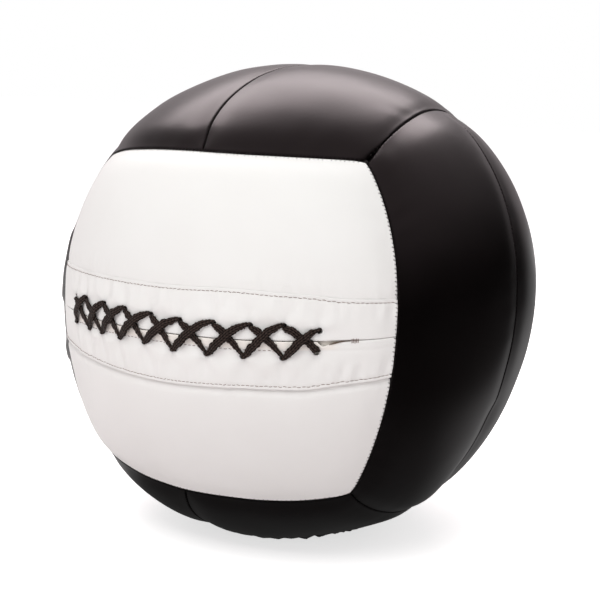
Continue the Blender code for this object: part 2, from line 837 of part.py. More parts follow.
clear_scene()
materials = {
    "black_vinyl": new_material("black_vinyl", (0.022, 0.020, 0.020), 0.42),
    "white_vinyl": new_material("white_vinyl", (0.86, 0.85, 0.84), 0.48),
    "lace": new_material("lace", (0.026, 0.019, 0.017), 0.85),
    "liner": new_material("liner", (0.76, 0.66, 0.53), 0.9),
    "foam": new_material("foam", (0.35, 0.36, 0.38), 0.95),
    "bag_cloth": new_material("bag_cloth", (0.62, 0.60, 0.55), 0.9),
    "fibre": new_material("fibre", (0.80, 0.79, 0.76), 1.0),
    "pouch_cloth": new_material("pouch_cloth", (0.30, 0.28, 0.24), 0.9),
    "sand": new_material("sand", (0.55, 0.45, 0.32), 0.95),
}

for panel_name, its_panel in PANELS.items():
    its_half = its_panel[1]
    pad_name = panel_name.replace("panel", "foam_pad")
    if its_panel[0] != FRONT:
        whole = Sheet(its_panel, mirrored(PANEL_SHARES), PANEL_SHARES)
        panel_skin(panel_name, whole, materials["black_vinyl"], (ALLOWANCE_DEPTH, ALLOWANCE_DEPTH))
        foam_pad(pad_name, its_panel)
        continue
    white = Sheet(
        its_panel,
        mirrored(PANEL_SHARES),
        beyond_strip(PANEL_SHARES),
        low=lambda along, panel=its_panel: strip_share(panel, along),
    )
    panel_skin(panel_name, white, materials["white_vinyl"], (HEM_DEPTH, ALLOWANCE_DEPTH))
    front_foam_pad(pad_name, its_half)
    lacing_strip("lacing_strip_upper" if its_half > 0 else "lacing_strip_lower", its_half)

lacing_tongue()
lace()
bag_half("inner_bag_upper", 1)
bag_half("inner_bag_lower", -1)
filling_half("filling_upper", 1)
filling_half("filling_lower", -1)
weight_pouch()
weight_sand()
pouch_tie()
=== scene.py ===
"""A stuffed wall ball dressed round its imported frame: sewn vinyl panels, lacing, threads, padding and weight.

Metres, +Z up. The white laced face looks along -Y, and +X is on the right of it. The layout of seams, holes
and layers repeats the part's own numbers, so each piece lies where its solid lies.
"""

import math

import bmesh
import bpy
import numpy as np
from mathutils import Matrix, Vector


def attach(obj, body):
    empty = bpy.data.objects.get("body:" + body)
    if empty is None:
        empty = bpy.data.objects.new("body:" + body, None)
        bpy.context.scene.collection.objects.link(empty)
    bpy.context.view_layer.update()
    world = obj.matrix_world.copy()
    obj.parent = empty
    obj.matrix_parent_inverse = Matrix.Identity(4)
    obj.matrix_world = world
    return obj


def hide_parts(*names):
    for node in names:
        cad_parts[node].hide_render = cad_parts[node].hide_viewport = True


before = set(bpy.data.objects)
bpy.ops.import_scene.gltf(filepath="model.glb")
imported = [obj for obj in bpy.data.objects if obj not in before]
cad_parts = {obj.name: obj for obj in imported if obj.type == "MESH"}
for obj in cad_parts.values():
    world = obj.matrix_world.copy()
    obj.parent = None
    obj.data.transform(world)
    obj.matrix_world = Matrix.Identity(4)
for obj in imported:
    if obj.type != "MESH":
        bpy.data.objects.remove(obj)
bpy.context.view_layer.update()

MM = 0.001

# The ball's shape, as in the part
BALL_RADIUS = 0.175
FLAT_DEPTH = 0.0035
SQUARENESS_SHARE = 0.041
SWELL_SHARE = 0.036
SWELL_SPREAD_SHARE = 0.12
SWELL_SHARES = (-0.50, -0.48, -0.72)
SLUMP_SHARES = (0.79, 0.41, -0.46)
CORNER_SHARES = (1.18, 1.18)
SEWN_CORNER_SHARES = {
    (1, -1, 1): (1.179, 1.312),
    (1, -1, -1): (1.160, 1.257),
    (-1, -1, 1): (1.363, 1.200),
    (-1, -1, -1): (0.968, 1.061),
}
EDGE_BOW_DEG = (9.6, 8.0, 3.9)
# The seams in view have bows of their own: at the middle, and how much more towards the far end
OWN_BOW_DEG = {
    (0, -1, 1): (10.44, 0.32),
    (0, -1, -1): (6.35, -0.08),
    (1, -1, 0): (4.16, 1.74),
    (-1, -1, 0): (-3.75, 3.35),
    (1, 0, 1): (11.31, 2.95),
    (1, 0, -1): (8.47, -0.48),
}
JUNCTION_SHARES = {
    (1, -1, 0): 0.0298,
    (-1, -1, 0): -0.0019,
    (1, 0, 1): 0.384,
    (1, 0, -1): 0.193,
    (0, -1, 1): 0.087,
    (0, -1, -1): -0.095,
}
# The middle seams of three faces bow as well, towards the half with the higher coordinates
MIDDLE_BOW_DEG = {(2, 1): (-0.78, 5.47), (0, 1): (-14.58, 2.66), (2, -1): (-2.83, 7.97)}
LACED_SEAM_SAG_SHARE = -0.018

# Skins and seams
SKIN_THICKNESS = 1.5 * MM
SEAM_HALF_GAP = 0.4 * MM
SEAM_SINK = 2.5 * MM
SEAM_SINK_WIDTH = 11 * MM
SEAM_ROLL = 1.8 * MM  # radius of the panel's edge where it turns in at a seam
ALLOWANCE_DEPTH = 9 * MM
EDGE_STEPS_MM = (0, 0.15, 0.4, 0.8, 1.3, 2.0, 3.0, 4.5, 6.5, 9.5)
BLACK_CELL, WHITE_CELL, WHITE_ROW, STRIP_CELL = 3.4 * MM, 2.6 * MM, 2.2 * MM, 1.25 * MM
COVER_FILL, INSIDE_FILL = 0.9, 0.95

X_AXIS, Y_AXIS, Z_AXIS = range(3)
FRONT, BACK = (Y_AXIS, -1), (Y_AXIS, 1)
TOP, BOTTOM = (Z_AXIS, 1), (Z_AXIS, -1)
RIGHT, LEFT = (X_AXIS, 1), (X_AXIS, -1)
FACE_NAMES = {FRONT: "front", BACK: "back", TOP: "top", BOTTOM: "bottom", RIGHT: "right", LEFT: "left"}
# The words for a face's halves, the one with the higher coordinates first
HALF_WORDS = {
    BACK: ("upper", "lower"),
    TOP: ("right", "left"),
    BOTTOM: ("right", "left"),
    RIGHT: ("back", "front"),
    LEFT: ("back", "front"),
    FRONT: ("upper", "lower"),
}
PANELS = [((face, half), word) for face, words in HALF_WORDS.items() for half, word in zip((1, -1), words)]
UP = np.array((0.0, 0.0, 1.0))


# Directions from the ball's centre

def unit(vectors):
    vectors = np.asarray(vectors, float)
    return vectors / np.linalg.norm(vectors, axis=-1, keepdims=True)


def slerp(first, second, share):
    angle = math.acos(float(np.clip(first @ second, -1, 1)))
    share = np.asarray(share, float)[..., None]
    return (np.sin((1 - share) * angle) * first + np.sin(share * angle) * second) / math.sin(angle)


def arc(first, second):
    """The way over the ball between two directions."""
    return BALL_RADIUS * np.arccos(np.clip((first * second).sum(-1), -1, 1))


def ball_radius(direction):
    swell, slump = (
        np.exp((direction @ unit(shares) - 1) / SWELL_SPREAD_SHARE) for shares in (SWELL_SHARES, SLUMP_SHARES)
    )
    squareness = SQUARENESS_SHARE * ((direction ** 4).sum(-1) - 0.6)
    return BALL_RADIUS * (1 - squareness + SWELL_SHARE * (swell - slump))


CENTRE = np.array((0.0, 0.0, float(ball_radius(-UP)) - FLAT_DEPTH))


def corner(signs):
    across, upward = SEWN_CORNER_SHARES.get(signs, CORNER_SHARES)
    return unit((signs[0] * across, signs[1], signs[2] * upward))


def bowed(base, ends, bow_deg, place, axis, sign):
    """A run between two directions, drawn sideways most in its middle, towards one side along an axis."""
    across = unit(np.cross(*ends))
    across = -across if across[axis] * sign < 0 else across
    bow = (np.radians(bow_deg[0] + bow_deg[1] * place) * (1 - place ** 2))[..., None]
    return base * np.cos(bow) + across * np.sin(bow)


def edge_direction(edge, place):
    """Points of the seam between two faces, which its signs name. It runs along the axis whose sign is 0."""
    place = np.asarray(place, float)
    along = edge.index(0)
    ends = [corner(tuple(sign if i == along else own for i, own in enumerate(edge))) for sign in (-1, 1)]
    junction = JUNCTION_SHARES.get(edge, 0.0)
    share = junction + place * np.where(place >= 0, 1 - junction, 1 + junction)
    bow = OWN_BOW_DEG.get(edge, (EDGE_BOW_DEG[along], 0.0))
    towards = (along + 1) % 3
    return bowed(slerp(*ends, (1 + share) / 2), ends, bow, place, towards, edge[towards])


def face_edge(face, turn, sign, place):
    """The seam of a face on one side of it, along the first or second axis that follows its own."""
    signs = [0, 0, 0]
    signs[face[0]] = face[1]
    signs[(face[0] + turn) % 3] = sign
    return edge_direction(tuple(signs), place)


def side_seam(face, sign, place):
    """The seam that a face's middle seam ends at."""
    return face_edge(face, 2, sign, place)


def far_seam(panel, along):
    return face_edge(panel[0], 1, panel[1], along)


def middle_seam(face, along):
    along = np.asarray(along, float)
    ends = [side_seam(face, sign, 0.0) for sign in (-1, 1)]
    direction = slerp(*ends, (1 + along) / 2)
    if face == FRONT:
        direction = direction + UP * (LACED_SEAM_SAG_SHARE * (1 - along ** 2))[..., None]
    return unit(bowed(direction, ends, MIDDLE_BOW_DEG.get(face, (0.0, 0.0)), along, (face[0] + 1) % 3, 1))


def panel_direction(panel, along, across):
    """Points of a half face: from -1 to 1 along its middle seam, and from 0 there to 1 at its far seam."""
    face, half = panel
    along, across = np.broadcast_arrays(np.asarray(along, float), np.asarray(across, float))
    share = across[..., None]
    blend = middle_seam(face, along) * (1 - share) + far_seam(panel, along) * share
    for sign in (-1, 1):
        ends = side_seam(face, sign, 0.0) * (1 - share) + side_seam(face, sign, half) * share
        blend = blend + (side_seam(face, sign, half * across) - ends) * ((1 + sign * along) / 2)[..., None]
    return unit(blend)


def panel_height(panel, along):
    """The way from the middle seam to the far one."""
    return arc(middle_seam(panel[0], along), far_seam(panel, along))


def panel_length(panel, across):
    """The way from one side seam to the other."""
    place = panel[1] * np.asarray(across, float)
    return arc(side_seam(panel[0], -1, place), side_seam(panel[0], 1, place))


def panel_size(panel):
    return float(panel_length(panel, 0.5)), float(panel_height(panel, 0.0))


def seam_ways(panel, along, across):
    """Distances to the far seam, the two side seams and the middle seam."""
    height = panel_height(panel, along)
    length = panel_length(panel, across)
    return [(1 - across) * height, (1 - along) / 2 * length, (1 + along) / 2 * length, across * height]


# Soft unevenness

def waves(points, length, seed, count=20):
    """Smooth repeatable noise of about one wavelength over points, mostly between -1 and 1."""
    source = np.random.default_rng(seed)
    ways = unit(source.normal(size=(count, 3))) * (2 * math.pi / length)
    ways = ways * source.uniform(0.7, 1.4, size=(count, 1))
    starts = source.uniform(0, 2 * math.pi, count)
    return np.sin(points @ ways.T + starts).sum(-1) / math.sqrt(2 * count)


def line_waves(place, length, seed, count=7):
    """The same along a line."""
    source = np.random.default_rng(seed)
    ways = 2 * math.pi / length * source.uniform(0.6, 1.5, count)
    starts = source.uniform(0, 2 * math.pi, count)
    return np.sin(np.asarray(place)[..., None] * ways + starts).sum(-1) / math.sqrt(count / 2)


def bump(way, width):
    return np.exp(-((way / width) ** 2))


def late_bump(share):
    """Nothing at 0, most at 1 and less again after it."""
    return (share * np.exp(1 - share)) ** 2


def smooth_step(share):
    share = np.clip(share, 0, 1)
    return share * share * (3 - 2 * share)


def hermite(first, second, first_slope, second_slope, share):
    """A smooth curve from one value to another with given slopes at both."""
    rest = 1 - share
    level = first * (1 + 2 * share) * rest ** 2 + second * share ** 2 * (3 - 2 * share)
    return level + first_slope * share * rest ** 2 - second_slope * share ** 2 * rest


def between(place, start, start_run, end, end_run):
    """A mask that eases up from a start and down again from an end."""
    return smooth_step((place - start) / start_run) * (1 - smooth_step((place - end) / end_run))


# The cover's slow dents: height, length and seed
COVER_WAVES = ((0.5 * MM, 95 * MM, 11), (0.13 * MM, 40 * MM, 12))
BALL_CORNERS = [corner((x, y, z)) for x in (-1, 1) for y in (-1, 1) for z in (-1, 1)]
CORNER_PIT, CORNER_PIT_WIDTH = 1.3 * MM, 5 * MM
# The two right-hand panels meet almost flat, and so do the two on top: how flat, from where and to where
FULL_SEAMS = ((RIGHT, 0.7, -0.35, 0.86), (TOP, 0.6, -0.85, 0.85))
# Where the ball sags round its foot: a direction, a height and how wide
FOOT_SWELLS = (
    ((-0.12, -0.45, -0.89), 3.6 * MM, 0.045),
    ((0.11, -0.32, -0.94), 2.6 * MM, 0.016),
    ((0.58, 0.03, -0.82), 2.8 * MM, 0.03),
)
FOOT_ANGLE_DEG, FOOT_SPREAD_DEG, FOOT_RUFFLE = 18, 5, 0.8 * MM
FOOT_RUFFLE_RUN = 50  # lengths round the foot in one radian of turn


def skin_relief(directions):
    """How far the cover lies in (+) or out (-) there, apart from what its seams do."""
    points = directions * BALL_RADIUS
    depth = -sum(height * waves(points, length, seed) for height, length, seed in COVER_WAVES)
    for pit in BALL_CORNERS:
        depth = depth + CORNER_PIT * bump(arc(directions, pit), CORNER_PIT_WIDTH)
    for face, fullness, start, end in FULL_SEAMS:
        seam = middle_seam(face, np.linspace(start, end, 60))
        from_seam = BALL_RADIUS * np.arccos(np.clip((directions @ seam.T).max(-1), -1, 1))
        depth = depth - fullness * SEAM_SINK * bump(from_seam, SEAM_SINK_WIDTH)
    for place, height, spread in FOOT_SWELLS:
        depth = depth - height * np.exp((directions @ unit(place) - 1) / spread)
    down = np.degrees(np.arccos(np.clip(-directions[..., 2], -1, 1)))
    turn = np.arctan2(directions[..., 1], directions[..., 0]) * FOOT_RUFFLE_RUN
    ruffle = line_waves(turn, 12, 13) + 0.6 * line_waves(turn, 5.5, 14)
    return depth - FOOT_RUFFLE * ruffle * bump(down - FOOT_ANGLE_DEG, FOOT_SPREAD_DEG)


def seam_profile(way):
    """How deep a panel lies at a distance from its seam: drawn in gently, then rolled over the edge."""
    near = np.clip(SEAM_ROLL - way, 0, SEAM_ROLL)
    return SEAM_SINK * bump(way, SEAM_SINK_WIDTH) + SEAM_ROLL - np.sqrt(SEAM_ROLL ** 2 - near ** 2)


def nearest(ways, power=3):
    """A rounded least of several distances."""
    return sum(np.maximum(way, 1e-6) ** -power for way in ways) ** (-1 / power)


PUCKER_HEIGHT, PUCKER_REACH, PUCKER_LENGTH = 0.05 * MM, 9 * MM, 24 * MM


def puckers(size, along, across, ways, seed):
    """Small creases square to each seam of a panel, strongest a little way off it."""
    places = (along * size[0] / 2, across * size[1], across * size[1], along * size[0] / 2)
    total = 0.0
    for number, (place, way) in enumerate(zip(places, ways)):
        own = seed + 1000 * number
        uneven = PUCKER_HEIGHT * (1 + 0.8 * line_waves(place, 5 * PUCKER_LENGTH, own + 5))
        total = total + uneven * line_waves(place, PUCKER_LENGTH, own) * late_bump(way / PUCKER_REACH)
    return total


def at_depth(directions, depth, lowest=None):
    """Points under the ball's plain surface, kept above a lowest height with a small round."""
    points = CENTRE + directions * (ball_radius(directions) - depth)[..., None]
    if lowest is not None:
        above = points[..., 2] - lowest
        points[..., 2] = lowest + (above + np.sqrt(above ** 2 + (0.6 * MM) ** 2)) / 2
    return points


# Meshes

def add_object(name, data):
    made = bpy.data.objects.new(name, data)
    bpy.context.scene.collection.objects.link(made)
    return made


def make_piece(name, points, faces, finish, slot=None, fill=None, sewn=False, marks=None):
    """A mesh piece on the ball's body. Unless it is sewing thread, it stands for the node of its name."""
    mesh = bpy.data.meshes.new(name)
    mesh.from_pydata([tuple(point) for point in np.asarray(points, float)], [], faces)
    bm = bmesh.new()
    bm.from_mesh(mesh)
    bmesh.ops.recalc_face_normals(bm, faces=bm.faces)
    bm.to_mesh(mesh)
    bm.free()
    mesh.shade_smooth()
    for mark, values in (marks or {}).items():
        attribute = mesh.attributes.new(mark, "FLOAT", "POINT")
        attribute.data.foreach_set("value", np.asarray(values, np.float32).ravel())
    mesh.materials.append(materials[finish])
    made = add_object(name, mesh)
    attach(made, "root")
    if not sewn:
        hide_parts(name)
    return made


def grid_faces(rows, columns, start=0, closed=False):
    """Quads between the points of a grid. In a closed one each row runs round."""
    numbers = start + np.arange(rows * columns).reshape(rows, columns)
    if closed:
        numbers = np.concatenate([numbers, numbers[:, :1]], 1)
    quads = np.stack([numbers[:-1, :-1], numbers[:-1, 1:], numbers[1:, 1:], numbers[1:, :-1]], -1)
    return quads.reshape(-1, 4).tolist()


def border(rows, columns, start=0):
    """The numbers of a grid's outer ring, once round."""
    numbers = start + np.arange(rows * columns).reshape(rows, columns)
    return np.concatenate([numbers[0, :], numbers[1:, -1], numbers[-1, -2::-1], numbers[-2:0:-1, 0]])


def join_rings(first, second):
    return np.stack([first, np.roll(first, -1), np.roll(second, -1), second], -1).tolist()


def loft(rings):
    """A skin over rings of points, capped at both ends."""
    count, ring = rings.shape[:2]
    caps = [list(range(ring)), list(range((count - 1) * ring, count * ring))]
    return rings.reshape(-1, 3), grid_faces(count, ring, closed=True) + caps


def closed_sheet(outer, inner):
    """Two grids of points joined round their borders."""
    rows, columns = outer.shape[:2]
    count = rows * columns
    faces = grid_faces(rows, columns) + grid_faces(rows, columns, count)
    faces += join_rings(border(rows, columns), border(rows, columns, count))
    return np.concatenate([outer.reshape(-1, 3), inner.reshape(-1, 3)]), faces


def graded(length, cell):
    """Places from 0 to a length: close together at both ends and about a cell apart between them."""
    steps = np.array(EDGE_STEPS_MM) * MM
    between_ends = length - 2 * steps[-1]
    count = max(2, round(between_ends / cell))
    middle = steps[-1] + between_ends * np.arange(1, count) / count
    return np.concatenate([steps, middle, (length - steps)[::-1]])


def seam_to_seam(length, cell):
    """Shares of a length, up to half a gap from the seams at its ends."""
    return (SEAM_HALF_GAP + graded(length - 2 * SEAM_HALF_GAP, cell)) / length


def inset(shares, low, high):
    """Shares drawn in from both ends of their range."""
    start, end = shares.min(), shares.max()
    return start + low + (shares - start) * (end - start - low - high) / (end - start)


def panel_skin(name, panel, along, across, depth, deep, finish, lapped=False):
    """A panel's skin with its edges turned in. A lapped one goes flat under the hem of a strip."""
    length, height = panel_size(panel)
    inner_along = inset(along, 2 * SKIN_THICKNESS / length, 2 * SKIN_THICKNESS / length)
    inner_across = inset(across, 0.0 if lapped else SKIN_THICKNESS / height, SKIN_THICKNESS / height)
    ways = (panel_direction(panel, along, across), panel_direction(panel, inner_along, inner_across))
    floors = (None, None) if lapped else (0.0, SKIN_THICKNESS)
    rows, columns = depth.shape
    points = [at_depth(ways[0], depth, floors[0]).reshape(-1, 3)]
    faces = grid_faces(rows, columns)
    ring = last = border(rows, columns)
    start = rows * columns
    for way in ways:
        points.append(at_depth(way, deep).reshape(-1, 3)[ring])
        numbers = start + np.arange(len(ring))
        faces += join_rings(last, numbers)
        last = numbers
        start += len(ring)
    inner_depth = np.minimum(depth, SEAM_SINK + SEAM_ROLL) + SKIN_THICKNESS
    points.append(at_depth(ways[1], inner_depth, floors[1]).reshape(-1, 3))
    faces += grid_faces(rows, columns, start) + join_rings(last, border(rows, columns, start))
    make_piece(name, np.concatenate(points), faces, finish, fill=COVER_FILL)


# The black panels

FOLD_DEPTH, FOLD_WIDTH, FOLD_WALL, FOLD_PLACE = 3.4 * MM, 9 * MM, 1.8 * MM, -0.95
LEFT_FLAT, LEFT_ROLL, LEFT_WAY = 2.2 * MM, 3.6 * MM, 9 * MM
# By their heights over the ball's middle: from, its easing, to, its easing
LEFT_SWELLS_MM = ((-12, 12, 43, 12), (-52, 9, -37, 9))


def left_roll(directions, way):
    """Beside the white face's left seam, the black panel swells in two places and lies flatter elsewhere."""
    height = directions[..., 2] * BALL_RADIUS
    swells = sum(between(height / MM, *swell) for swell in LEFT_SWELLS_MM)
    return (LEFT_FLAT - LEFT_ROLL * swells) * bump(way - LEFT_WAY, LEFT_WAY)


def black_panel(name, panel):
    (axis, sign), half = panel
    size = panel_size(panel)
    length, height = size
    along, across = np.meshgrid(-1 + 2 * seam_to_seam(length, BLACK_CELL), seam_to_seam(height, BLACK_CELL))
    directions = panel_direction(panel, along, across)
    ways = seam_ways(panel, along, across)
    depth = skin_relief(directions) + seam_profile(nearest(ways))
    depth = depth + puckers(size, along, across, ways, 100 * (1 + axis) + 10 * (2 + sign) + half)
    # By the right upper corner of the white face the seam is drawn into a small fold
    from_fold = arc(directions, edge_direction((1, 0, 1), FOLD_PLACE))
    depth = depth + FOLD_DEPTH * np.exp(-nearest(ways) / FOLD_WALL) * bump(from_fold, FOLD_WIDTH)
    if name == "left_panel_front":
        depth = depth + left_roll(directions, (1 - across) * height)
    panel_skin(name, panel, along, across, depth, np.full(depth.shape, ALLOWANCE_DEPTH), "black_vinyl")


# Stitches

THREAD_SIDES = 6
STITCH_ENDS = np.array((0.55, 0.95, 1.0, 1.0, 0.95, 0.55))
STITCH_PITCH = 2.9 * MM
STITCH_SLANT, STITCH_UNEVENNESS = 0.35, 0.15
STITCH_RADIUS = 0.25 * MM
STITCH_BRIDGE = 0.9 * MM
SEAMED_SHARE = 0.97  # of a seam's length
SHORT_REACH, LEFT_REACH, WHITE_REACH = 1.15 * MM, 1.2 * MM, 2.1 * MM
KNOT_REACH, KNOT_DEPTH, KNOT_RADIUS = 2.2 * MM, 4.0 * MM, 0.7 * MM
KNOT_TURNS_DEG = (10, 55, 100, 145)


def round_sections(paths, tangent, outward, radii, sides):
    """Circles of points round every point of a path, or of several."""
    side = unit(np.cross(tangent, outward))
    rise = np.cross(side, tangent)
    turns = 2 * math.pi * np.arange(sides) / sides
    spokes = side[..., None, :] * np.cos(turns)[:, None] + rise[..., None, :] * np.sin(turns)[:, None]
    return paths[..., None, :] + spokes * np.asarray(radii, float)[..., None, None]


def sew(name, paths, radii, thread_name="black_thread", slot="lace"):
    """Capped round threads along paths, which is an array of paths by points by 3."""
    tangent = unit(np.gradient(paths, axis=1))
    points = round_sections(paths, tangent, unit(paths - CENTRE), radii, THREAD_SIDES)
    numbers = np.arange(points.size // 3).reshape(points.shape[:3])
    after = np.roll(numbers, -1, axis=2)
    quads = np.stack([numbers[:, :-1], after[:, :-1], after[:, 1:], numbers[:, 1:]], -1).reshape(-1, 4)
    caps = np.concatenate([numbers[:, 0], numbers[:, -1]])
    make_piece(name, points.reshape(-1, 3), quads.tolist() + caps.tolist(), thread_name, slot, sewn=True)


def seam_stitches(name, curve, length, reaches):
    """Threads across a seam, which is a function of a share from -1 to 1."""
    count = round(length / STITCH_PITCH)
    shares = -1 + 2 * (np.arange(count) + 0.5) / count
    middle = curve(shares)
    tangent = unit(curve(shares + 0.002) - curve(shares - 0.002))
    across = unit(np.cross(middle, tangent))
    steps = np.array((-1.0, -0.8, -0.3, 0.3, 0.8, 1.0))
    own_reach = (1 + STITCH_UNEVENNESS * np.sin(np.arange(count) * 2.4 + count))[:, None]
    ways = np.where(steps < 0, steps * reaches[0], steps * reaches[1]) * own_reach
    slanted = across[:, None, :] + STITCH_SLANT * tangent[:, None, :]
    directions = unit(middle[:, None, :] + slanted * (ways / BALL_RADIUS)[..., None])
    lift = np.array((-0.25, 0.12, 0.3, 0.3, 0.12, -0.25)) * MM
    # Over the gap the thread bridges the two rolled edges
    profile = np.minimum(seam_profile(np.abs(ways)) - lift, seam_profile(STITCH_BRIDGE))
    points = at_depth(directions, profile + skin_relief(directions), STITCH_RADIUS)
    sew(name, points, STITCH_ENDS * STITCH_RADIUS)


def edge_name(edge):
    own = [(axis, sign) for axis, sign in enumerate(edge) if sign]
    return "_".join(word for face, word in FACE_NAMES.items() if face in own)


def seam_threads():
    edges = [(x, y, z) for x in (-1, 0, 1) for y in (-1, 0, 1) for z in (-1, 0, 1)]
    for edge in [edge for edge in edges if edge.count(0) == 1]:
        points = edge_direction(edge, np.linspace(-SEAMED_SHARE, SEAMED_SHARE, 80))
        length = float(arc(points[1:], points[:-1]).sum())
        reaches = [SHORT_REACH, SHORT_REACH]
        if edge[Y_AXIS] == -1:
            tangent = edge_direction(edge, 0.01) - edge_direction(edge, -0.01)
            across = np.cross(edge_direction(edge, 0.0), tangent)
            reaches[0 if across[Y_AXIS] > 0 else 1] = LEFT_REACH if edge[0] < 0 else WHITE_REACH
        curve = lambda share, edge=edge: edge_direction(edge, SEAMED_SHARE * share)
        seam_stitches("seam_thread_" + edge_name(edge), curve, length, reaches)
    for face in (BACK, TOP, BOTTOM, RIGHT, LEFT):
        length = SEAMED_SHARE * float(panel_length((face, 1), 0.0))
        curve = lambda share, face=face: middle_seam(face, SEAMED_SHARE * share)
        seam_stitches(f"seam_thread_{FACE_NAMES[face]}_middle", curve, length, (SHORT_REACH, SHORT_REACH))


def seam_knots():
    """Where three seams meet, short crossed stitches hold the corner shut."""
    middles = [side_seam(face, sign, 0.0) for face in FACE_NAMES for sign in (-1, 1)]
    steps = np.linspace(-1, 1, 7)
    paths = []
    for number, place in enumerate(BALL_CORNERS + middles):
        rightward = unit(np.cross(place, (0.31, 0.62, 0.72)))
        upward = np.cross(place, rightward)
        for turn in np.radians(KNOT_TURNS_DEG) + 0.7 * number:
            way = math.cos(turn) * rightward + math.sin(turn) * upward
            directions = unit(place + way * (steps * KNOT_REACH / BALL_RADIUS)[:, None])
            depth = KNOT_DEPTH + skin_relief(directions) - 0.5 * MM * (1 - steps ** 2)
            paths.append(at_depth(directions, depth, KNOT_RADIUS))
    sew("seam_knots", np.array(paths), np.array((0.6, 0.9, 1, 1, 1, 0.9, 0.6)) * KNOT_RADIUS)


# The white face, by its place along the laced seam from -1 to 1 and by its half: 1 above the slit, -1 below

SLIT_HALF_GAP = 0.25 * MM
HALF_SLIT_LENGTH = 151 * MM
# The lines of topstitching: places, and millimetres off the slit there
STITCH_LINES = {
    1: (
        (-1, -0.5, 0, 0.3, 0.46, 0.62, 0.73, 0.87, 1),
        (27.4, 29.1, 29.4, 29.9, 28.4, 26.8, 24.6, 23.1, 22.4),
    ),
    -1: (
        (-1, -0.79, -0.5, -0.24, -0.03, 0.16, 0.32, 0.48, 0.62, 0.75, 0.88, 1),
        (21.4, 24.3, 28.4, 31.1, 32.3, 31.7, 30.6, 30.4, 30.2, 27.3, 25.7, 24.8),
    ),
}
HEM_BEYOND_STITCH = 2.3 * MM
HEM_LAP = 6 * MM
HEM_TAPER = 9 * MM
HEM_THICKNESS = {1: 0.5 * MM, -1: 1.9 * MM}
STRIP_THICKNESS = 1.5 * MM
EDGE_ROUND = STRIP_THICKNESS / 2
BAND_STITCH = 6.4 * MM
# Rows of topstitching: from and to, then a stitch's length, its gap and its radius
ROW_STITCHES = (-0.985, 0.985, 2.7 * MM, 0.35 * MM, 0.18 * MM)
BAND_STITCHES = (-0.70, 0.575, 2.2 * MM, 1.0 * MM, 0.17 * MM)
STITCH_WANDER = 0.12 * MM
TACK_START, TACK_END, TACK_COUNT = 0.796, 0.822, 5
TACK_LOW, TACK_HIGH, TACK_RADIUS = -1.9 * MM, 1.3 * MM, 0.24 * MM
EDGING_RADIUS, EDGING_STEPS = 0.36 * MM, 40
LENS_START, LENS_PEAK, LENS_END, LENS_HEIGHT = 0.648, 0.676, 0.77, 3.2 * MM

# The lace holes, as in the part
HOLE_RADIUS = 1.9 * MM
HOLE_OFFSET = 9.7 * MM
HOLE_SHARES = {
    1: (1.10, 1.25, 1.24, 1.22, 1.12, 0.97, 1.03, 0.99, 0.99, 0.68),
    -1: (0.64, 0.74, 0.75, 0.82, 0.82, 1.04, 1.08, 1.08, 1.09, 0.74),
}
ROW_START_SHARE, ROW_END_SHARE = -0.692, 0.655
COLUMN_SHARES = (0.0, 0.1, 0.198, 0.301, 0.414, 0.53, 0.654, 0.777, 0.893, 1.0)
HOLE_LEAN_SHARES = (-0.008, -0.019, 0.007, 0.017, 0.019, 0.019, 0.016, 0.014, 0.001, 0.005)
LAST_COLUMN = len(COLUMN_SHARES) - 1

# What the drawn lace does to the vinyl: heights, and how wide
HOLE_FAN, HOLE_FAN_WAY = 0.8 * MM, 8 * MM
HOLE_DIMPLE, HOLE_DIMPLE_WIDTH = 0.5 * MM, 3.3 * MM
HOLE_DRAW, HOLE_DRAW_WIDTH = 0.2 * MM, 3.2 * MM
END_PULL = 0.8 * MM
STITCH_FURROW, STITCH_FURROW_WIDTH = 0.30 * MM, 0.9 * MM
BAND_FURROW, HEM_RIDGE = 0.22 * MM, 0.4 * MM
STRIP_CREASE, PANEL_CREASE = 0.26 * MM, 0.15 * MM
# How far the painted shade round each lace hole spreads
HOLE_SHADE_WIDTH = 4.2 * MM
LACED_BAND = 28 * MM


def smooth_line(places, values, at):
    """A curve through a few values, level with their own trend."""
    places, values, at = (np.asarray(numbers, float) for numbers in (places, values, at))
    slopes = np.gradient(values, places)
    number = np.clip(np.searchsorted(places, at) - 1, 0, len(places) - 2)
    step = places[number + 1] - places[number]
    share = (at - places[number]) / step
    first, second = ((values[at_end], slopes[at_end] * step) for at_end in (number, number + 1))
    return hermite(first[0], second[0], first[1], second[1], share)


def stitch_line(half, along):
    """How far a strip's line of topstitching runs from the slit."""
    return smooth_line(*STITCH_LINES[half], along) * MM


def hem_line(half, along):
    return stitch_line(half, along) + HEM_BEYOND_STITCH


def slit_edge(half, along):
    """Where a strip's folded edge lies off the slit. The lower one drops away in the open end of the slit."""
    along = np.asarray(along, float)
    gap = SLIT_HALF_GAP * (0.35 + 0.65 * between(along, -0.84, 0.1, 0.8, 0.1))
    if half > 0:
        return gap
    opening = smooth_step((along - LENS_START) / (LENS_PEAK - LENS_START))
    closing = np.clip((LENS_END - along) / (LENS_END - LENS_PEAK), 0, 1) ** 1.3
    return gap + LENS_HEIGHT * np.minimum(opening, closing)


def face_direction(half, along, offset):
    """A point of the white face, a length above or below its slit."""
    panel = (FRONT, half)
    return panel_direction(panel, along, offset / panel_height(panel, along))


def row_direction(along, offset):
    """The same straight up or down from the slit, as the part places its lace holes."""
    on_seam = middle_seam(FRONT, along)
    upward = unit(UP - on_seam * (on_seam @ UP)[..., None])
    angle = (np.asarray(offset, float) / BALL_RADIUS)[..., None]
    return on_seam * np.cos(angle) + upward * np.sin(angle)


def hole_place(column, half):
    share = ROW_START_SHARE + (ROW_END_SHARE - ROW_START_SHARE) * COLUMN_SHARES[column]
    return share + half * HOLE_LEAN_SHARES[column], half * HOLE_OFFSET * HOLE_SHARES[half][column]


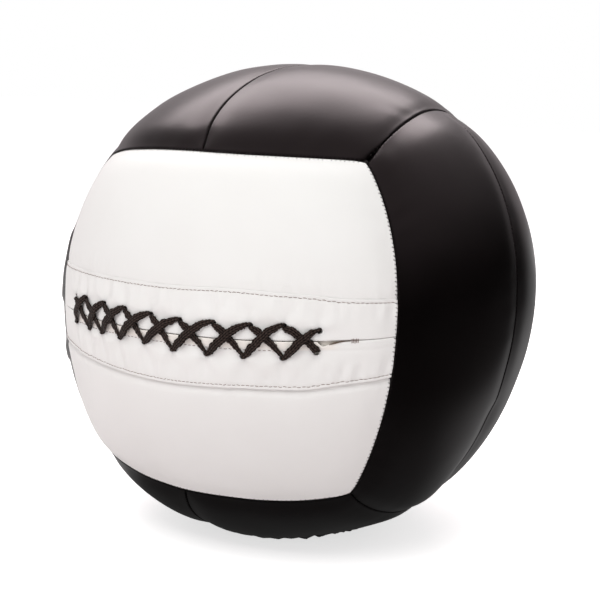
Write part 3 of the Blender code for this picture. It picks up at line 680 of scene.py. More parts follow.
HOLES = [
    (half, row_direction(*hole_place(column, half))) for half in (1, -1) for column in range(LAST_COLUMN + 1)
]


def hole_ways(directions, hole):
    """How far to the right of a hole and upwards from it points lie."""
    rightward = unit(np.cross(UP, hole))
    upward = np.cross(hole, rightward)
    return (directions @ rightward) * BALL_RADIUS, (directions @ upward) * BALL_RADIUS


def face_relief(directions):
    """The cover's unevenness with the dimples of the lace holes and the creases that fan out from them."""
    depth = skin_relief(directions)
    for number, (half, hole) in enumerate(HOLES):
        rightward, upward = hole_ways(directions, hole)
        outward = upward * half
        way = np.hypot(rightward, outward)
        turn = np.arctan2(rightward, outward)
        fan = np.cos(turn * 3.1 + 0.9 * math.sin(2.1 * number)) * np.cos(np.clip(turn, -2, 2) / 2) ** 2
        depth = depth + HOLE_FAN * fan * late_bump(way / HOLE_FAN_WAY)
        depth = depth + HOLE_DIMPLE * bump(way, HOLE_DIMPLE_WIDTH)
        depth = depth + HOLE_DRAW * bump(rightward, HOLE_DRAW_WIDTH) * bump(outward + 4 * MM, 5 * MM)
        if number == len(HOLES) - 1:
            depth = depth + END_PULL * bump(rightward + 2 * MM, 7 * MM) * bump(outward - 2 * MM, 5 * MM)
    return depth


def strip_point(half, along, offset, height=0.0):
    """A point at a height over a lacing strip's own surface."""
    panel = (FRONT, half)
    directions = face_direction(half, along, offset)
    side_ways = seam_ways(panel, along, offset / panel_height(panel, along))[1:3]
    depth = face_relief(directions) + seam_profile(nearest(side_ways))
    from_stitch = offset - stitch_line(half, along)
    depth = depth + STITCH_FURROW * bump(from_stitch, STITCH_FURROW_WIDTH)
    crease = line_waves(along * HALF_SLIT_LENGTH, 13 * MM, 31 + half)
    depth = depth + STRIP_CREASE * crease * bump(from_stitch + 5 * MM, 6 * MM)
    if half < 0:
        depth = depth + BAND_FURROW * bump(offset - BAND_STITCH, 0.8 * MM)
        depth = depth - HEM_RIDGE * bump(from_stitch - 1.3 * MM, 0.9 * MM)
    return at_depth(directions, depth - height)


def strip_thickness(half, along, offset):
    """The upper strip is pressed thin towards its hem, and the lower one keeps its fold."""
    share = smooth_step((offset - hem_line(half, along) + HEM_TAPER) / (HEM_TAPER - 2 * MM))
    return STRIP_THICKNESS + (HEM_THICKNESS[half] - STRIP_THICKNESS) * share


def lacing_strip(name, half):
    """A band folded at the slit and hemmed at its other edge, with painted shade round its lace holes."""
    along = -1 + 2 * seam_to_seam(float(panel_length((FRONT, half), 0.0)), STRIP_CELL)
    start, end = slit_edge(half, along), hem_line(half, along)
    hem_round = HEM_THICKNESS[half] / 2
    rounds = [(math.sin(turn), math.cos(turn)) for turn in np.radians((30, 60, 90, 120, 150))]
    first, reach = start + EDGE_ROUND, end - start - EDGE_ROUND - hem_round
    rows = [(first + reach * share, 0.0) for share in np.linspace(0, 1, 34)]
    rows += [(end - hem_round * (1 - sine), hem_round * (1 - cosine)) for sine, cosine in rounds]
    inside = [first + reach * share for share in np.linspace(1, 0, 12)]
    rows += [(offset, strip_thickness(half, along, offset)) for offset in inside]
    rows += [(first - EDGE_ROUND * sine, EDGE_ROUND * (1 + cosine)) for sine, cosine in rounds]
    rings = np.stack([strip_point(half, along, offset, -depth) for offset, depth in rows], 1)
    points, faces = loft(rings)
    directions = unit(points - CENTRE)
    # Painted shade: a soft mask round each lace hole, which darkens the strip's colour there
    hole_shade = sum(bump(np.hypot(*hole_ways(directions, hole)), HOLE_SHADE_WIDTH) for _, hole in HOLES)
    offsets = np.stack([offset for offset, _ in rows], 1)
    laced = between(along, -0.74, 0.05, 0.7, 0.06)[:, None]
    band = (half < 0) * laced * smooth_step((BAND_STITCH - offsets) / (1.5 * MM))
    strip = make_piece(name, points, faces, "white_vinyl", marks={"hole_shade": hole_shade, "band": band})
    punch_holes(strip, half)


def punch_holes(strip, half):
    """Cuts the lace holes right through a strip."""
    bm = bmesh.new()
    for hole in [hole for own_half, hole in HOLES if own_half == half]:
        turn = Vector(hole).to_track_quat("Z", "Y").to_matrix().to_4x4()
        turn.translation = Vector(at_depth(hole, 1.2 * MM))
        sizes = {"radius1": HOLE_RADIUS, "radius2": HOLE_RADIUS, "depth": 8 * MM}
        bmesh.ops.create_cone(bm, cap_ends=True, segments=20, matrix=turn, **sizes)
    mesh = bpy.data.meshes.new("hole_cutter")
    bm.to_mesh(mesh)
    bm.free()
    cutter = add_object("hole_cutter", mesh)
    cut = strip.modifiers.new("lace_holes", "BOOLEAN")
    cut.operation = "DIFFERENCE"
    cut.solver = "EXACT"
    cut.object = cutter
    bpy.context.view_layer.update()
    evaluated = strip.evaluated_get(bpy.context.evaluated_depsgraph_get())
    result = bpy.data.meshes.new_from_object(evaluated)
    strip.modifiers.remove(cut)
    strip.data = result
    bpy.data.objects.remove(cutter, do_unlink=True)


def front_panel(name, panel):
    """A white panel from its far seam to under the strip's hem."""
    half = panel[1]
    size = panel_size(panel)
    length, height = size
    reach = height - LACED_BAND
    along, share = np.meshgrid(-1 + 2 * seam_to_seam(length, WHITE_CELL), graded(reach, WHITE_ROW) / reach)
    hem = hem_line(half, along)
    start = hem - HEM_LAP
    offset = start + (panel_height(panel, along) - SEAM_HALF_GAP - start) * share
    across = offset / panel_height(panel, along)
    ways = seam_ways(panel, along, across)[:3]
    depth = face_relief(panel_direction(panel, along, across)) + seam_profile(nearest(ways))
    depth = depth + puckers(size, along, across, ways, 700 + half)
    tucked = 1 - smooth_step((offset - hem + 0.4 * MM) / (5.5 * MM))
    depth = depth + tucked * (strip_thickness(half, along, np.minimum(offset, hem)) + 0.15 * MM)
    place = along * length / 2
    crease = line_waves(place, 12 * MM, 41 + half) + 0.6 * line_waves(place, 26 * MM, 43)
    depth = depth + PANEL_CREASE * crease * bump(offset - hem - 6 * MM, 7 * MM)
    deep = np.where(share == 0, depth + SKIN_THICKNESS / 2, ALLOWANCE_DEPTH)
    panel_skin(name, panel, along, across, depth, deep, "white_vinyl", lapped=True)


def running_stitches(name, half, line, start, end, stitch, gap, radius):
    """A row of topstitching on a strip, along a line that gives its way from the slit."""
    length = float(panel_length((FRONT, half), 0.0)) * (end - start) / 2
    count = round(length / (stitch + gap))
    pitch = (end - start) / count
    steps = np.array((0.0, 0.12, 0.35, 0.65, 0.88, 1.0)) * stitch / (stitch + gap)
    along = start + pitch * (np.arange(count)[:, None] + steps)
    offset = line(along) + STITCH_WANDER * line_waves(along * HALF_SLIT_LENGTH, 5 * MM, 51)
    lift = np.array((-0.35, 0.1, 0.2, 0.2, 0.1, -0.35)) * MM
    sew(name, strip_point(half, along, offset, lift), STITCH_ENDS * radius, "grey_thread", "pouch_cloth")


def topstitching():
    for half, name in ((1, "topstitch_upper"), (-1, "topstitch_lower")):
        line = lambda along, half=half: stitch_line(half, along)
        running_stitches(name, half, line, *ROW_STITCHES)
    band = lambda along: np.full(np.shape(along), BAND_STITCH)
    running_stitches("topstitch_band", -1, band, *BAND_STITCHES)


def bar_tack():
    """Short upright stitches that close the open end of the slit."""
    along = np.linspace(TACK_START, TACK_END, TACK_COUNT)[:, None] + np.zeros(6)
    rise = np.linspace(TACK_LOW, TACK_HIGH, 6) + 0.3 * MM * np.sin(np.arange(TACK_COUNT) * 2.3)[:, None]
    lift = np.array((-0.3, 0.2, 0.3, 0.3, 0.2, -0.3)) * MM
    directions = row_direction(along, rise)
    points = at_depth(directions, face_relief(directions) - lift)
    sew("bar_tack", points, STITCH_ENDS * TACK_RADIUS, "grey_thread", "pouch_cloth")


def slit_edging():
    """The brown overcast thread along the open end of the slit."""
    along = np.linspace(LENS_PEAK + 0.026, LENS_END + 0.02, EDGING_STEPS)
    offset = slit_edge(-1, along) - 0.3 * MM * (1 - np.sin(np.arange(EDGING_STEPS) * 1.9))
    path = strip_point(-1, along, np.maximum(offset, 0.05 * MM), 0.02 * MM)[None]
    taper = np.interp(np.linspace(0, 1, EDGING_STEPS), (0, 0.2, 0.5, 1), (0.4, 1.3, 1, 0.5))
    sew("slit_edging", path, taper * EDGING_RADIUS, "brown_thread")


TONGUE_DEPTH, TONGUE_THICKNESS, TONGUE_RISE = 5.35 * MM, 1.0 * MM, 3.4 * MM
TONGUE_END_SHARE, TONGUE_HALF_HEIGHT = 0.88, 20 * MM


def lacing_tongue():
    """The cloth flap under the slit, which comes up a little in the slit's open end."""
    along = np.linspace(-TONGUE_END_SHARE, TONGUE_END_SHARE, 120)
    lens = between(along, LENS_START + 0.003, 0.016, LENS_END, 0.05)
    sides = []
    for extra in (0.0, TONGUE_THICKNESS):
        rows = []
        for offset in np.linspace(-TONGUE_HALF_HEIGHT, TONGUE_HALF_HEIGHT, 33):
            directions = face_direction(1 if offset >= 0 else -1, along, np.full(along.shape, abs(offset)))
            pressed = smooth_step((abs(offset) - 13 * MM) / (6 * MM))
            depth = TONGUE_DEPTH * (1 - pressed) + (STRIP_THICKNESS + 0.5 * MM) * pressed
            depth = depth + skin_relief(directions) - TONGUE_RISE * lens * bump(offset + 3 * MM, 7 * MM)
            depth = depth + 0.2 * MM * waves(directions * BALL_RADIUS, 12 * MM, 61) + 0.3 * MM
            rows.append(at_depth(directions, depth + extra))
        sides.append(np.stack(rows))
    make_piece("lacing_tongue", *closed_sheet(*sides), "liner")


# The lace

LACE_THICKNESS = 1.0 * MM
LACE_GAP = 0.7 * MM
LACE_BUNCHED_WIDTH = 2.2 * MM
LINK_DEPTH = 2.85 * MM
# Places along a strand from its upper hole, and its widths there in millimetres
OVER_WIDTHS = ((0, 0.05, 0.14, 0.3, 0.5, 0.75, 0.88, 0.96, 1), (1.8, 3.0, 4.1, 5.4, 5.8, 5.5, 4.4, 3.0, 2.0))
UNDER_WIDTHS = ((0, 0.04, 0.12, 0.4, 0.62, 0.82, 1), (1.9, 3.3, 4.7, 5.0, 4.2, 3.0, 2.0))
LAST_OVER_WIDTHS = ((0, 0.06, 0.2, 0.35, 0.6, 0.88, 1), (0.9, 2.0, 4.4, 5.6, 5.8, 4.4, 2.0))
LAST_UNDER_WIDTHS = ((0, 0.05, 0.15, 0.45, 0.7, 0.93, 1), (2.3, 4.4, 5.2, 5.0, 4.8, 5.0, 3.6))
LAST_STRAND_BEYOND = 0.9 * MM
FULL_WIDTH_SHARE = 1.1
RIGHT_WIDTH_SHARE = 0.9  # the lace is drawn narrower towards the right end of the row
LACE_FULLNESS = 1.6 * MM
LACE_SIDES = 24
OVER_LIFT, OFF_FACE, HOLE_DIP = 1.72 * MM, 0.12 * MM, -1.1 * MM
LAST_LINK_DRAWN = 0.016  # how far the last link is drawn to the left, behind the open end of the slit
BRAID_PITCH, BRAID_HEIGHT, RIB_PITCH = 2.5 * MM, 0.24 * MM, 1.5 * MM
STRAND_STEPS = (0.0, 0.02, 0.05, 0.09, 0.14, 0.2, 0.27, 0.34, 0.42, 0.5)
# Way from the bend, width and thickness in millimetres
KNOT_SECTIONS = ((1.6, 3.4, 1.9), (2.4, 4.2, 2.3), (3.6, 4.2, 2.3), (4.4, 3.2, 1.8), (5.2, 2.2, 1.0))


def nested_offset(column, half, layer):
    step = (1.5 * LACE_THICKNESS + LACE_GAP) / 2
    return hole_place(column, half)[1] + half * (step if layer else -step)


def lace_section(along, offset, height, side, width, thickness):
    """A section of the lace in one row: its middle, the way that its width lies, its width and thickness."""
    direction = row_direction(np.asarray(along, float), offset)
    point = CENTRE + direction * (float(ball_radius(direction)) + height)
    rightward = unit(np.cross(UP, direction))
    upward = np.cross(direction, rightward)
    return [*point, *(rightward * side[0] + upward * side[1]), width, thickness]


def strand_point(start, end, layer, share):
    """A strand's way over the face, in metres along and off the slit: it leaves its upper hole sideways."""
    handles = ((0.46, 0.12), (0.74, 0.68)) if layer else ((0.40, 0.20), (0.80, 0.74))
    rest = 1 - share
    weights = (3 * share * rest ** 2, 3 * share ** 2 * rest, share ** 3)
    across, down = (weights[0] * handles[0][i] + weights[1] * handles[1][i] + weights[2] for i in range(2))
    return np.array((start[0] + (end[0] - start[0]) * across, start[1] + (end[1] - start[1]) * down))


def strand_end(column, half, layer, half_length):
    """Where a strand dips into its hole, in metres along and off the slit."""
    along = hole_place(column, half)[0] * half_length
    return along + LAST_STRAND_BEYOND * (column == LAST_COLUMN), nested_offset(column, half, layer)


def outside_strand(start_column, end_column, layer):
    """From an upper hole over the slit to the next column's lower hole."""
    half_length = float(panel_length((FRONT, 1), 0.0)) / 2
    start = strand_end(start_column, 1, layer, half_length)
    end = strand_end(end_column, -1, layer, half_length)
    if LAST_COLUMN in (start_column, end_column):
        places, widths = LAST_OVER_WIDTHS if layer else LAST_UNDER_WIDTHS
    else:
        places, widths = OVER_WIDTHS if layer else UNDER_WIDTHS
    narrowed = 1 - (1 - RIGHT_WIDTH_SHARE) * (COLUMN_SHARES[start_column] + COLUMN_SHARES[end_column]) / 2
    sections = []
    for share in [*STRAND_STEPS, *(1 - share for share in STRAND_STEPS[-2::-1])]:
        x, y = strand_point(start, end, layer, share)
        ahead = strand_point(start, end, layer, min(share + 0.02, 1))
        run, rise = ahead - strand_point(start, end, layer, max(share - 0.02, 0))
        side = np.array((-rise, run)) / math.hypot(run, rise)
        side = side if side[0] > 0 else -side
        from_hole = min(share, 1 - share)
        turned_share = float(smooth_step(from_hole / 0.07))
        side = unit((1 - turned_share) * np.array((1.0, 0.0)) + turned_share * side)
        direction = row_direction(np.asarray(x / half_length), y)
        ground = -float(face_relief(direction[None])[0]) * (1 - 0.7 * from_hole)
        height = LACE_FULLNESS / 2 + OFF_FACE + ground * (from_hole > 0.01)
        height += layer * OVER_LIFT * float(smooth_step((from_hole - 0.12) / 0.22))
        if from_hole == 0:
            height = HOLE_DIP
        width = float(np.interp(share, places, widths)) * narrowed * FULL_WIDTH_SHARE * MM
        sections.append(lace_section(x / half_length, y, height, side, width, LACE_FULLNESS))
    return sections


def inside_link(column, start_layer, end_layer):
    """Straight up behind the strips, from a column's lower hole to its upper one."""
    low, high = nested_offset(column, -1, start_layer), nested_offset(column, 1, end_layer)
    low_along, high_along = hole_place(column, -1)[0], hole_place(column, 1)[0]
    depth = LINK_DEPTH + min(start_layer, end_layer) * (LACE_THICKNESS + LACE_GAP)
    sections = []
    for offset, drawn in ((low + LACE_THICKNESS, 0.0), ((low + high) / 2, 1.0), (high - LACE_THICKNESS, 0.0)):
        along = low_along + (high_along - low_along) * (offset - low) / (high - low)
        along = along - drawn * LAST_LINK_DRAWN * (column == LAST_COLUMN)
        sections.append(lace_section(along, offset, -depth, (1.0, 0.0), LACE_BUNCHED_WIDTH, LACE_THICKNESS))
    return sections


def knotted_end(half, layer):
    """The lace's end behind a first hole, from the bend outwards."""
    bend, plain = LACE_THICKNESS / MM, (LACE_BUNCHED_WIDTH / MM, LACE_THICKNESS / MM)
    steps = [(bend, *plain), (2 * bend, *plain)] + [(bend + way, *own) for way, *own in KNOT_SECTIONS]
    along, start = hole_place(0, half)[0], nested_offset(0, half, layer)
    depth = LINK_DEPTH + 0.5 * (LACE_THICKNESS + LACE_GAP)
    return [
        lace_section(along, start - half * way * MM, -depth, (1.0, 0.0), width * MM, thickness * MM)
        for way, width, thickness in steps
    ]


def catmull(values, steps):
    """A smooth run through rows of values."""
    values = np.asarray(values, float)
    before = np.concatenate([values[:1], values[:-1]])
    after = np.concatenate([values[1:], values[-1:]])
    later = np.concatenate([values[2:], values[-1:], values[-1:]])
    slopes = (after - before) / 2, (later - values) / 2
    rows = [hermite(values, after, *slopes, share) for share in np.arange(steps) / steps]
    woven = np.stack(rows, 1)[:-1].reshape(-1, values.shape[1])
    return np.concatenate([woven, values[-1:]])


def lace():
    """One flat lace: zigzag to the right through all columns, and back over itself to the left."""
    sections = knotted_end(1, 0)[::-1]
    for column in range(LAST_COLUMN):
        sections += outside_strand(column, column + 1, 0)
        sections += inside_link(column + 1, 0, 1 if column + 1 == LAST_COLUMN else 0)
    for column in range(LAST_COLUMN, 0, -1):
        sections += outside_strand(column, column - 1, 1)
        if column > 1:
            sections += inside_link(column - 1, 1, 1)
    sections += knotted_end(-1, 1)
    fine = catmull(sections, 4)
    points, sides = fine[:, :3], fine[:, 3:6]
    tangent = unit(np.gradient(points, axis=0))
    sides = unit(sides - tangent * (sides * tangent).sum(-1, keepdims=True))
    normal = np.cross(tangent, sides)
    run = np.concatenate([[0], np.cumsum(np.linalg.norm(np.diff(points, axis=0), axis=1))])
    wide = fine[:, 6] * (1 + 0.05 * line_waves(run, 5 * MM, 81) + 0.03 * line_waves(run, 1.7 * MM, 82))
    points = points + sides * (0.18 * MM * line_waves(run, 11 * MM, 83) * (wide > 4 * MM))[:, None]
    turns = 2 * math.pi * np.arange(LACE_SIDES) / LACE_SIDES
    across = np.sign(np.cos(turns)) * np.abs(np.cos(turns)) ** 0.8
    rise = np.sign(np.sin(turns)) * np.abs(np.sin(turns)) ** 0.75
    lace_side = across * wide[:, None] / 2
    # The braid: slanting strands that meet in the middle of the lace
    braid = np.sin(2 * math.pi * (run[:, None] + np.abs(lace_side)) / BRAID_PITCH)
    thick = fine[:, 7:8] / 2 + BRAID_HEIGHT * (braid - 1) / 2 * (wide[:, None] > 3 * MM)
    outward = lace_side + BRAID_HEIGHT * np.sign(across) * braid / 2
    skin = points[:, None, :] + sides[:, None, :] * outward[..., None]
    skin = skin + normal[:, None, :] * (rise * thick)[..., None]
    marks = {"lace_run": np.repeat(run, LACE_SIDES), "lace_side": lace_side}
    make_piece("lace", *loft(skin), "lace", marks=marks)


# The padding, the filling and the weight: where the layers lie, as in the part

PAD_FACE_DEPTH = 2.3 * MM
PAD_DEPTH = 10.2 * MM
PAD_MARGIN = 2.8 * MM
PAD_CELL = 6 * MM
PAD_ROUND, PAD_DENT = 0.9 * MM, 0.25 * MM
POCKET_DEPTH = 7.15 * MM
STRIP_HEIGHT = 30 * MM
HEM_FOLD = 3.6 * MM
BAG_DEPTH = 12.5 * MM
BAG_THICKNESS = 1.0 * MM
PIECE_GAP = 0.3 * MM
POUCH_RADIUS = 76 * MM
POUCH_THICKNESS = 1.2 * MM
POUCH_BODY_SHARES = (
    (0.38, -0.925), (0.71, -0.704), (0.93, -0.368), (1.0, 0.0), (0.93, 0.368), (0.71, 0.704), (0.44, 0.9),
)
POUCH_NECK_SHARES = ((0.24, 1.0), (0.19, 1.12), (0.24, 1.26), (0.31, 1.4))
TIE_HEIGHT_SHARE = 1.12
TIE_RADIUS = 1.8 * MM
TIE_STRAND, TIE_TWISTS, TIE_STEPS, TIE_SIDES = 0.86 * MM, 22, 220, 10
NECK_GATHERS, NECK_GATHER_DEPTH, NECK_GATHER_SHARE = 17, 0.55 * MM, 0.22
BAG_PUFF, BAG_GATHER, BAG_GATHERS = 0.35 * MM, 0.25 * MM, 24
HEAP_DROP, HEAP_ROUGHNESS = 1.8 * MM, 0.5 * MM
POLE_RADIUS = 0.6 * MM
RIM_LIFT = 0.15 * MM
SEGMENTS = 96
TURNS = 2 * math.pi * np.arange(SEGMENTS) / SEGMENTS


def pad_line(span):
    """Places across a pad, close together at its edges."""
    edge = PAD_MARGIN + np.array((0, 0.4, 1.2, 2.6)) * MM
    inner = np.linspace(PAD_MARGIN + PAD_CELL, span - PAD_MARGIN - PAD_CELL, round(span / PAD_CELL))
    return np.concatenate([edge, inner, (span - edge)[::-1]]) / span


def foam_pad(name, panel):
    """A pad cut to its panel, with soft rounded edges and dents from the press of the filling."""
    length, height = panel_size(panel)
    along, across = np.meshgrid(-1 + 2 * pad_line(length), pad_line(height))
    ways = seam_ways(panel, along, across)
    directions = panel_direction(panel, along, across)
    edge_round = PAD_ROUND * bump(nearest(ways) - PAD_MARGIN, 1.2 * MM)
    dents = 1 + waves(directions * BALL_RADIUS, 26 * MM, 71)
    soft = PAD_DENT * dents * smooth_step(nearest(ways) / (8 * MM))
    depth = PAD_FACE_DEPTH
    if panel[0] == FRONT:
        # Under the strips the pad is hollowed for the tongue and the lace
        pocket = 1 - smooth_step((across * panel_height(panel, along) - STRIP_HEIGHT) / (2 * HEM_FOLD))
        depth = depth + PIECE_GAP + (POCKET_DEPTH - PAD_FACE_DEPTH - PIECE_GAP) * pocket
        ways = ways[:3]
        edge_round = edge_round * (1 - 0.6 * pocket)
    sink = SEAM_SINK * bump(nearest(ways), SEAM_SINK_WIDTH)
    relief = np.clip(skin_relief(directions), 0, 3 * MM)
    face = np.minimum(depth + sink + edge_round + np.maximum(soft * 0.6, relief), PAD_DEPTH - 1.2 * MM)
    back = np.maximum(PAD_DEPTH - edge_round - 0.5 * soft, face + PAD_ROUND)
    outer = at_depth(directions, face, PAD_FACE_DEPTH)
    inner = at_depth(directions, back, PAD_FACE_DEPTH + PAD_ROUND)
    make_piece(name, *closed_sheet(outer, inner), "foam", fill=COVER_FILL)


def dome(depth, half):
    """Rings from the level middle of the ball to a pole, where the last ring is drawn in small."""
    height, turn = np.meshgrid(np.radians(np.linspace(0, 89.5, 30)), TURNS, indexing="ij")
    reach = np.cos(height)
    directions = np.stack([reach * np.cos(turn), reach * np.sin(turn), half * np.sin(height)], -1)
    puffs = BAG_PUFF * (1 + waves(directions * BALL_RADIUS, 38 * MM, 75)) * np.sin(height)
    gathers = BAG_GATHER * (1 + np.cos(BAG_GATHERS * turn)) * bump(height, 0.16)
    points = at_depth(directions, depth + puffs + gathers, depth)
    points[0, :, 2] = CENTRE[2] + half * RIM_LIFT
    return points


def two_shells(outer, inner, joined):
    """Two round shells, joined at one end (0 the first ring, 1 the last) and capped at the other."""
    count = len(outer) * SEGMENTS
    ring = np.arange(SEGMENTS)
    faces = grid_faces(len(outer), SEGMENTS, closed=True)
    faces += grid_faces(len(inner), SEGMENTS, count, closed=True)
    ends = ((ring, count + ring), (count - SEGMENTS + ring, count + (len(inner) - 1) * SEGMENTS + ring))
    for number, (own, other) in enumerate(ends):
        faces += join_rings(own, other) if number == joined else [own.tolist(), other.tolist()]
    return np.concatenate([outer.reshape(-1, 3), inner.reshape(-1, 3)]), faces


def inner_bag(name, half):
    """Half of the cloth bag, gathered a little along its middle seam."""
    shells = [dome(BAG_DEPTH + extra, half) for extra in (0.0, BAG_THICKNESS)]
    make_piece(name, *two_shells(*shells, joined=0), "bag_cloth", fill=INSIDE_FILL)


def grown(outline, by):
    """An outline of radius and height moved outwards."""
    outline = np.asarray(outline, float)
    padded = np.concatenate([outline[:1], outline, outline[-1:]])
    run = unit(padded[2:] - padded[:-2])
    return outline + np.stack([run[:, 1], -run[:, 0]], -1) * by


def turned(outline, folds=0.0):
    """An outline turned round the ball's upright axis, with folds in it."""
    radius = outline[:, :1] + folds
    height = outline[:, 1:] + CENTRE[2] + 0 * TURNS
    return np.stack([radius * np.cos(TURNS), radius * np.sin(TURNS), height], -1)


def pouch_line(by=0.0, neck=True):
    """The filled pouch's outline, from near its bottom point upwards."""
    shares = POUCH_BODY_SHARES + (POUCH_NECK_SHARES if neck else ())
    outline = grown(np.array(shares) * POUCH_RADIUS, by)
    return np.concatenate([[(POLE_RADIUS, -POUCH_RADIUS - by)], outline])


def weight_pouch():
    """The cloth pouch, gathered at its neck and open above the tie."""
    outer_line, inner_line = pouch_line(), pouch_line(-POUCH_THICKNESS)
    inner_line[-1, 1] = outer_line[-1, 1]
    outer_line, inner_line = (catmull(line, 4) for line in (outer_line, inner_line))
    # Gathers at the tied neck that fade out over the shoulder, only inwards so that the pouch keeps its room
    over_tie = outer_line[:, 1:] - TIE_HEIGHT_SHARE * POUCH_RADIUS
    gathers = 1 + np.cos(NECK_GATHERS * TURNS + 0.6 * np.sin(3 * TURNS))
    folds = -NECK_GATHER_DEPTH * bump(over_tie, NECK_GATHER_SHARE * POUCH_RADIUS) * gathers
    shells = [turned(line, folds) for line in (outer_line, inner_line)]
    make_piece("weight_pouch", *two_shells(*shells, joined=1), "pouch_cloth", fill=INSIDE_FILL)


def weight_sand():
    """The sand, heaped a little under the shoulder."""
    line = catmull(pouch_line(-POUCH_THICKNESS - PIECE_GAP, neck=False), 4)
    top_radius, top_height = line[-1]
    shares = np.linspace(0.93, 0.04, 9)
    heap = np.stack([top_radius * shares, top_height - HEAP_DROP * (1 - shares) ** 0.8], -1)
    points = turned(np.concatenate([line, heap]))
    rough = waves(points, 9 * MM, 78) * HEAP_ROUGHNESS
    points[-len(heap):, :, 2] += (rough - 1.2 * HEAP_ROUGHNESS)[-len(heap):]
    make_piece("weight_sand", *loft(points), "sand")


def pouch_tie():
    """The cord round the pouch's neck: two twisted strands."""
    neck = min(share[0] for share in POUCH_NECK_SHARES) * POUCH_RADIUS
    turns = 2 * math.pi * np.arange(TIE_STEPS) / TIE_STEPS
    pieces, faces = [], []
    for number in range(2):
        twist = TIE_TWISTS * turns + number * math.pi
        radius = neck + PIECE_GAP + TIE_RADIUS + TIE_STRAND * np.cos(twist)
        height = TIE_HEIGHT_SHARE * POUCH_RADIUS + TIE_STRAND * np.sin(twist)
        middle = np.stack([radius * np.cos(turns), radius * np.sin(turns), CENTRE[2] + height], -1)
        tangent = unit(np.roll(middle, -1, axis=0) - np.roll(middle, 1, axis=0))
        pieces.append(round_sections(middle, tangent, UP, TIE_STRAND, TIE_SIDES).reshape(-1, 3))
        ring = number * TIE_STEPS * TIE_SIDES + np.arange(TIE_SIDES)
        faces += grid_faces(TIE_STEPS, TIE_SIDES, ring[0], closed=True)
        faces += join_rings(ring + (TIE_STEPS - 1) * TIE_SIDES, ring)
    make_piece("pouch_tie", np.concatenate(pieces), faces, "cord", "lace")


def filling(name, half):
    """Half of the fibre filling, puffed up round its half of the pouch's hollow."""
    body = grown(np.array(POUCH_BODY_SHARES) * POUCH_RADIUS, PIECE_GAP)
    neck_radius, neck_height = POUCH_NECK_SHARES[-1]
    radius = max(neck_radius * POUCH_RADIUS + POUCH_THICKNESS, body[-1][0])
    line = np.concatenate([body, [(radius, neck_height * POUCH_RADIUS + PIECE_GAP)]])
    line = line[line[:, 1] * half > 1 * MM][::half]
    line = catmull(np.concatenate([[(POUCH_RADIUS + PIECE_GAP, half * RIM_LIFT)], line]), 5)
    end = [(1.5 * MM, -POUCH_RADIUS - PIECE_GAP)]
    if half > 0:
        end = [(line[-1][0] * share, line[-1][1]) for share in (0.6, 0.2)]
    outer = dome(BAG_DEPTH + BAG_THICKNESS + PIECE_GAP, half)
    hollow = turned(np.concatenate([line, end]))
    make_piece(name, *two_shells(outer, hollow, joined=0), "fibre", fill=INSIDE_FILL)


# Materials

def new_tree(name):
    material = bpy.data.materials.new(name)
    material.use_nodes = True
    return material, material.node_tree


def fill_inputs(tree, node, inputs):
    """Fills a node's inputs by numbers or by other nodes' sockets."""
    for name, value in inputs.items():
        if isinstance(value, bpy.types.NodeSocket):
            tree.links.new(value, node.inputs[name])
        else:
            node.inputs[name].default_value = value
    return node


def add_node(tree, kind, inputs=None, **settings):
    made = tree.nodes.new(kind)
    for name, value in settings.items():
        setattr(made, name, value)
    return fill_inputs(tree, made, inputs or {})


def maths(tree, operation, first, second=0.0, third=0.5):
    return add_node(tree, "ShaderNodeMath", {0: first, 1: second, 2: third}, operation=operation).outputs[0]


def mix_colours(tree, share, first, second):
    return add_node(tree, "ShaderNodeMix", {0: share, 6: first, 7: second}, data_type="RGBA").outputs[2]


def mix_values(tree, share, first, second):
    return add_node(tree, "ShaderNodeMix", {0: share, 2: first, 3: second}, data_type="FLOAT").outputs[0]


def read_mark(tree, name):
    return add_node(tree, "ShaderNodeAttribute", attribute_name=name).outputs["Fac"]


def object_place(tree):
    return add_node(tree, "ShaderNodeTexCoord").outputs["Object"]


def noise(tree, place, scale, detail, **more):
    inputs = {"Vector": place, "Scale": scale, "Detail": detail, **more}
    return add_node(tree, "ShaderNodeTexNoise", inputs).outputs["Fac"]


def cells(tree, place, scale):
    return add_node(tree, "ShaderNodeTexVoronoi", {"Vector": place, "Scale": scale}).outputs


def split(tree, vector):
    return add_node(tree, "ShaderNodeSeparateXYZ", {"Vector": vector}).outputs


def ranged(tree, value, low, high, start=0.0, end=1.0, ease="LINEAR"):
    """A value's range from a start to an end, turned into one from low to high."""
    inputs = {"Value": value, "From Min": start, "From Max": end, "To Min": low, "To Max": high}
    return add_node(tree, "ShaderNodeMapRange", inputs, interpolation_type=ease).outputs["Result"]


def eased(tree, value, start, end, low, high):
    return ranged(tree, value, low, high, start, end, "SMOOTHSTEP")


def set_surface(tree, colour, height, strength, distance, inputs):
    """Fills a material's shader: its colour, a bump and other inputs."""
    relief = add_node(tree, "ShaderNodeBump", {"Height": height, "Strength": strength, "Distance": distance})
    inputs = {"Base Color": colour, "Normal": relief.outputs["Normal"], **inputs}
    fill_inputs(tree, tree.nodes["Principled BSDF"], inputs)


def new_group(name, inputs):
    """A shader node group that puts out a height and slow patches."""
    tree = bpy.data.node_groups.new(name, "ShaderNodeTree")
    for label, value in inputs.items():
        tree.interface.new_socket(label, in_out="INPUT", socket_type="NodeSocketFloat").default_value = value
    for label in ("Height", "Patches"):
        tree.interface.new_socket(label, in_out="OUTPUT", socket_type="NodeSocketFloat")
    return tree, tree.nodes.new("NodeGroupInput").outputs, tree.nodes.new("NodeGroupOutput")


def use_group(tree, group, **inputs):
    made = add_node(tree, "ShaderNodeGroup", node_tree=groups[group])
    return fill_inputs(tree, made, inputs).outputs


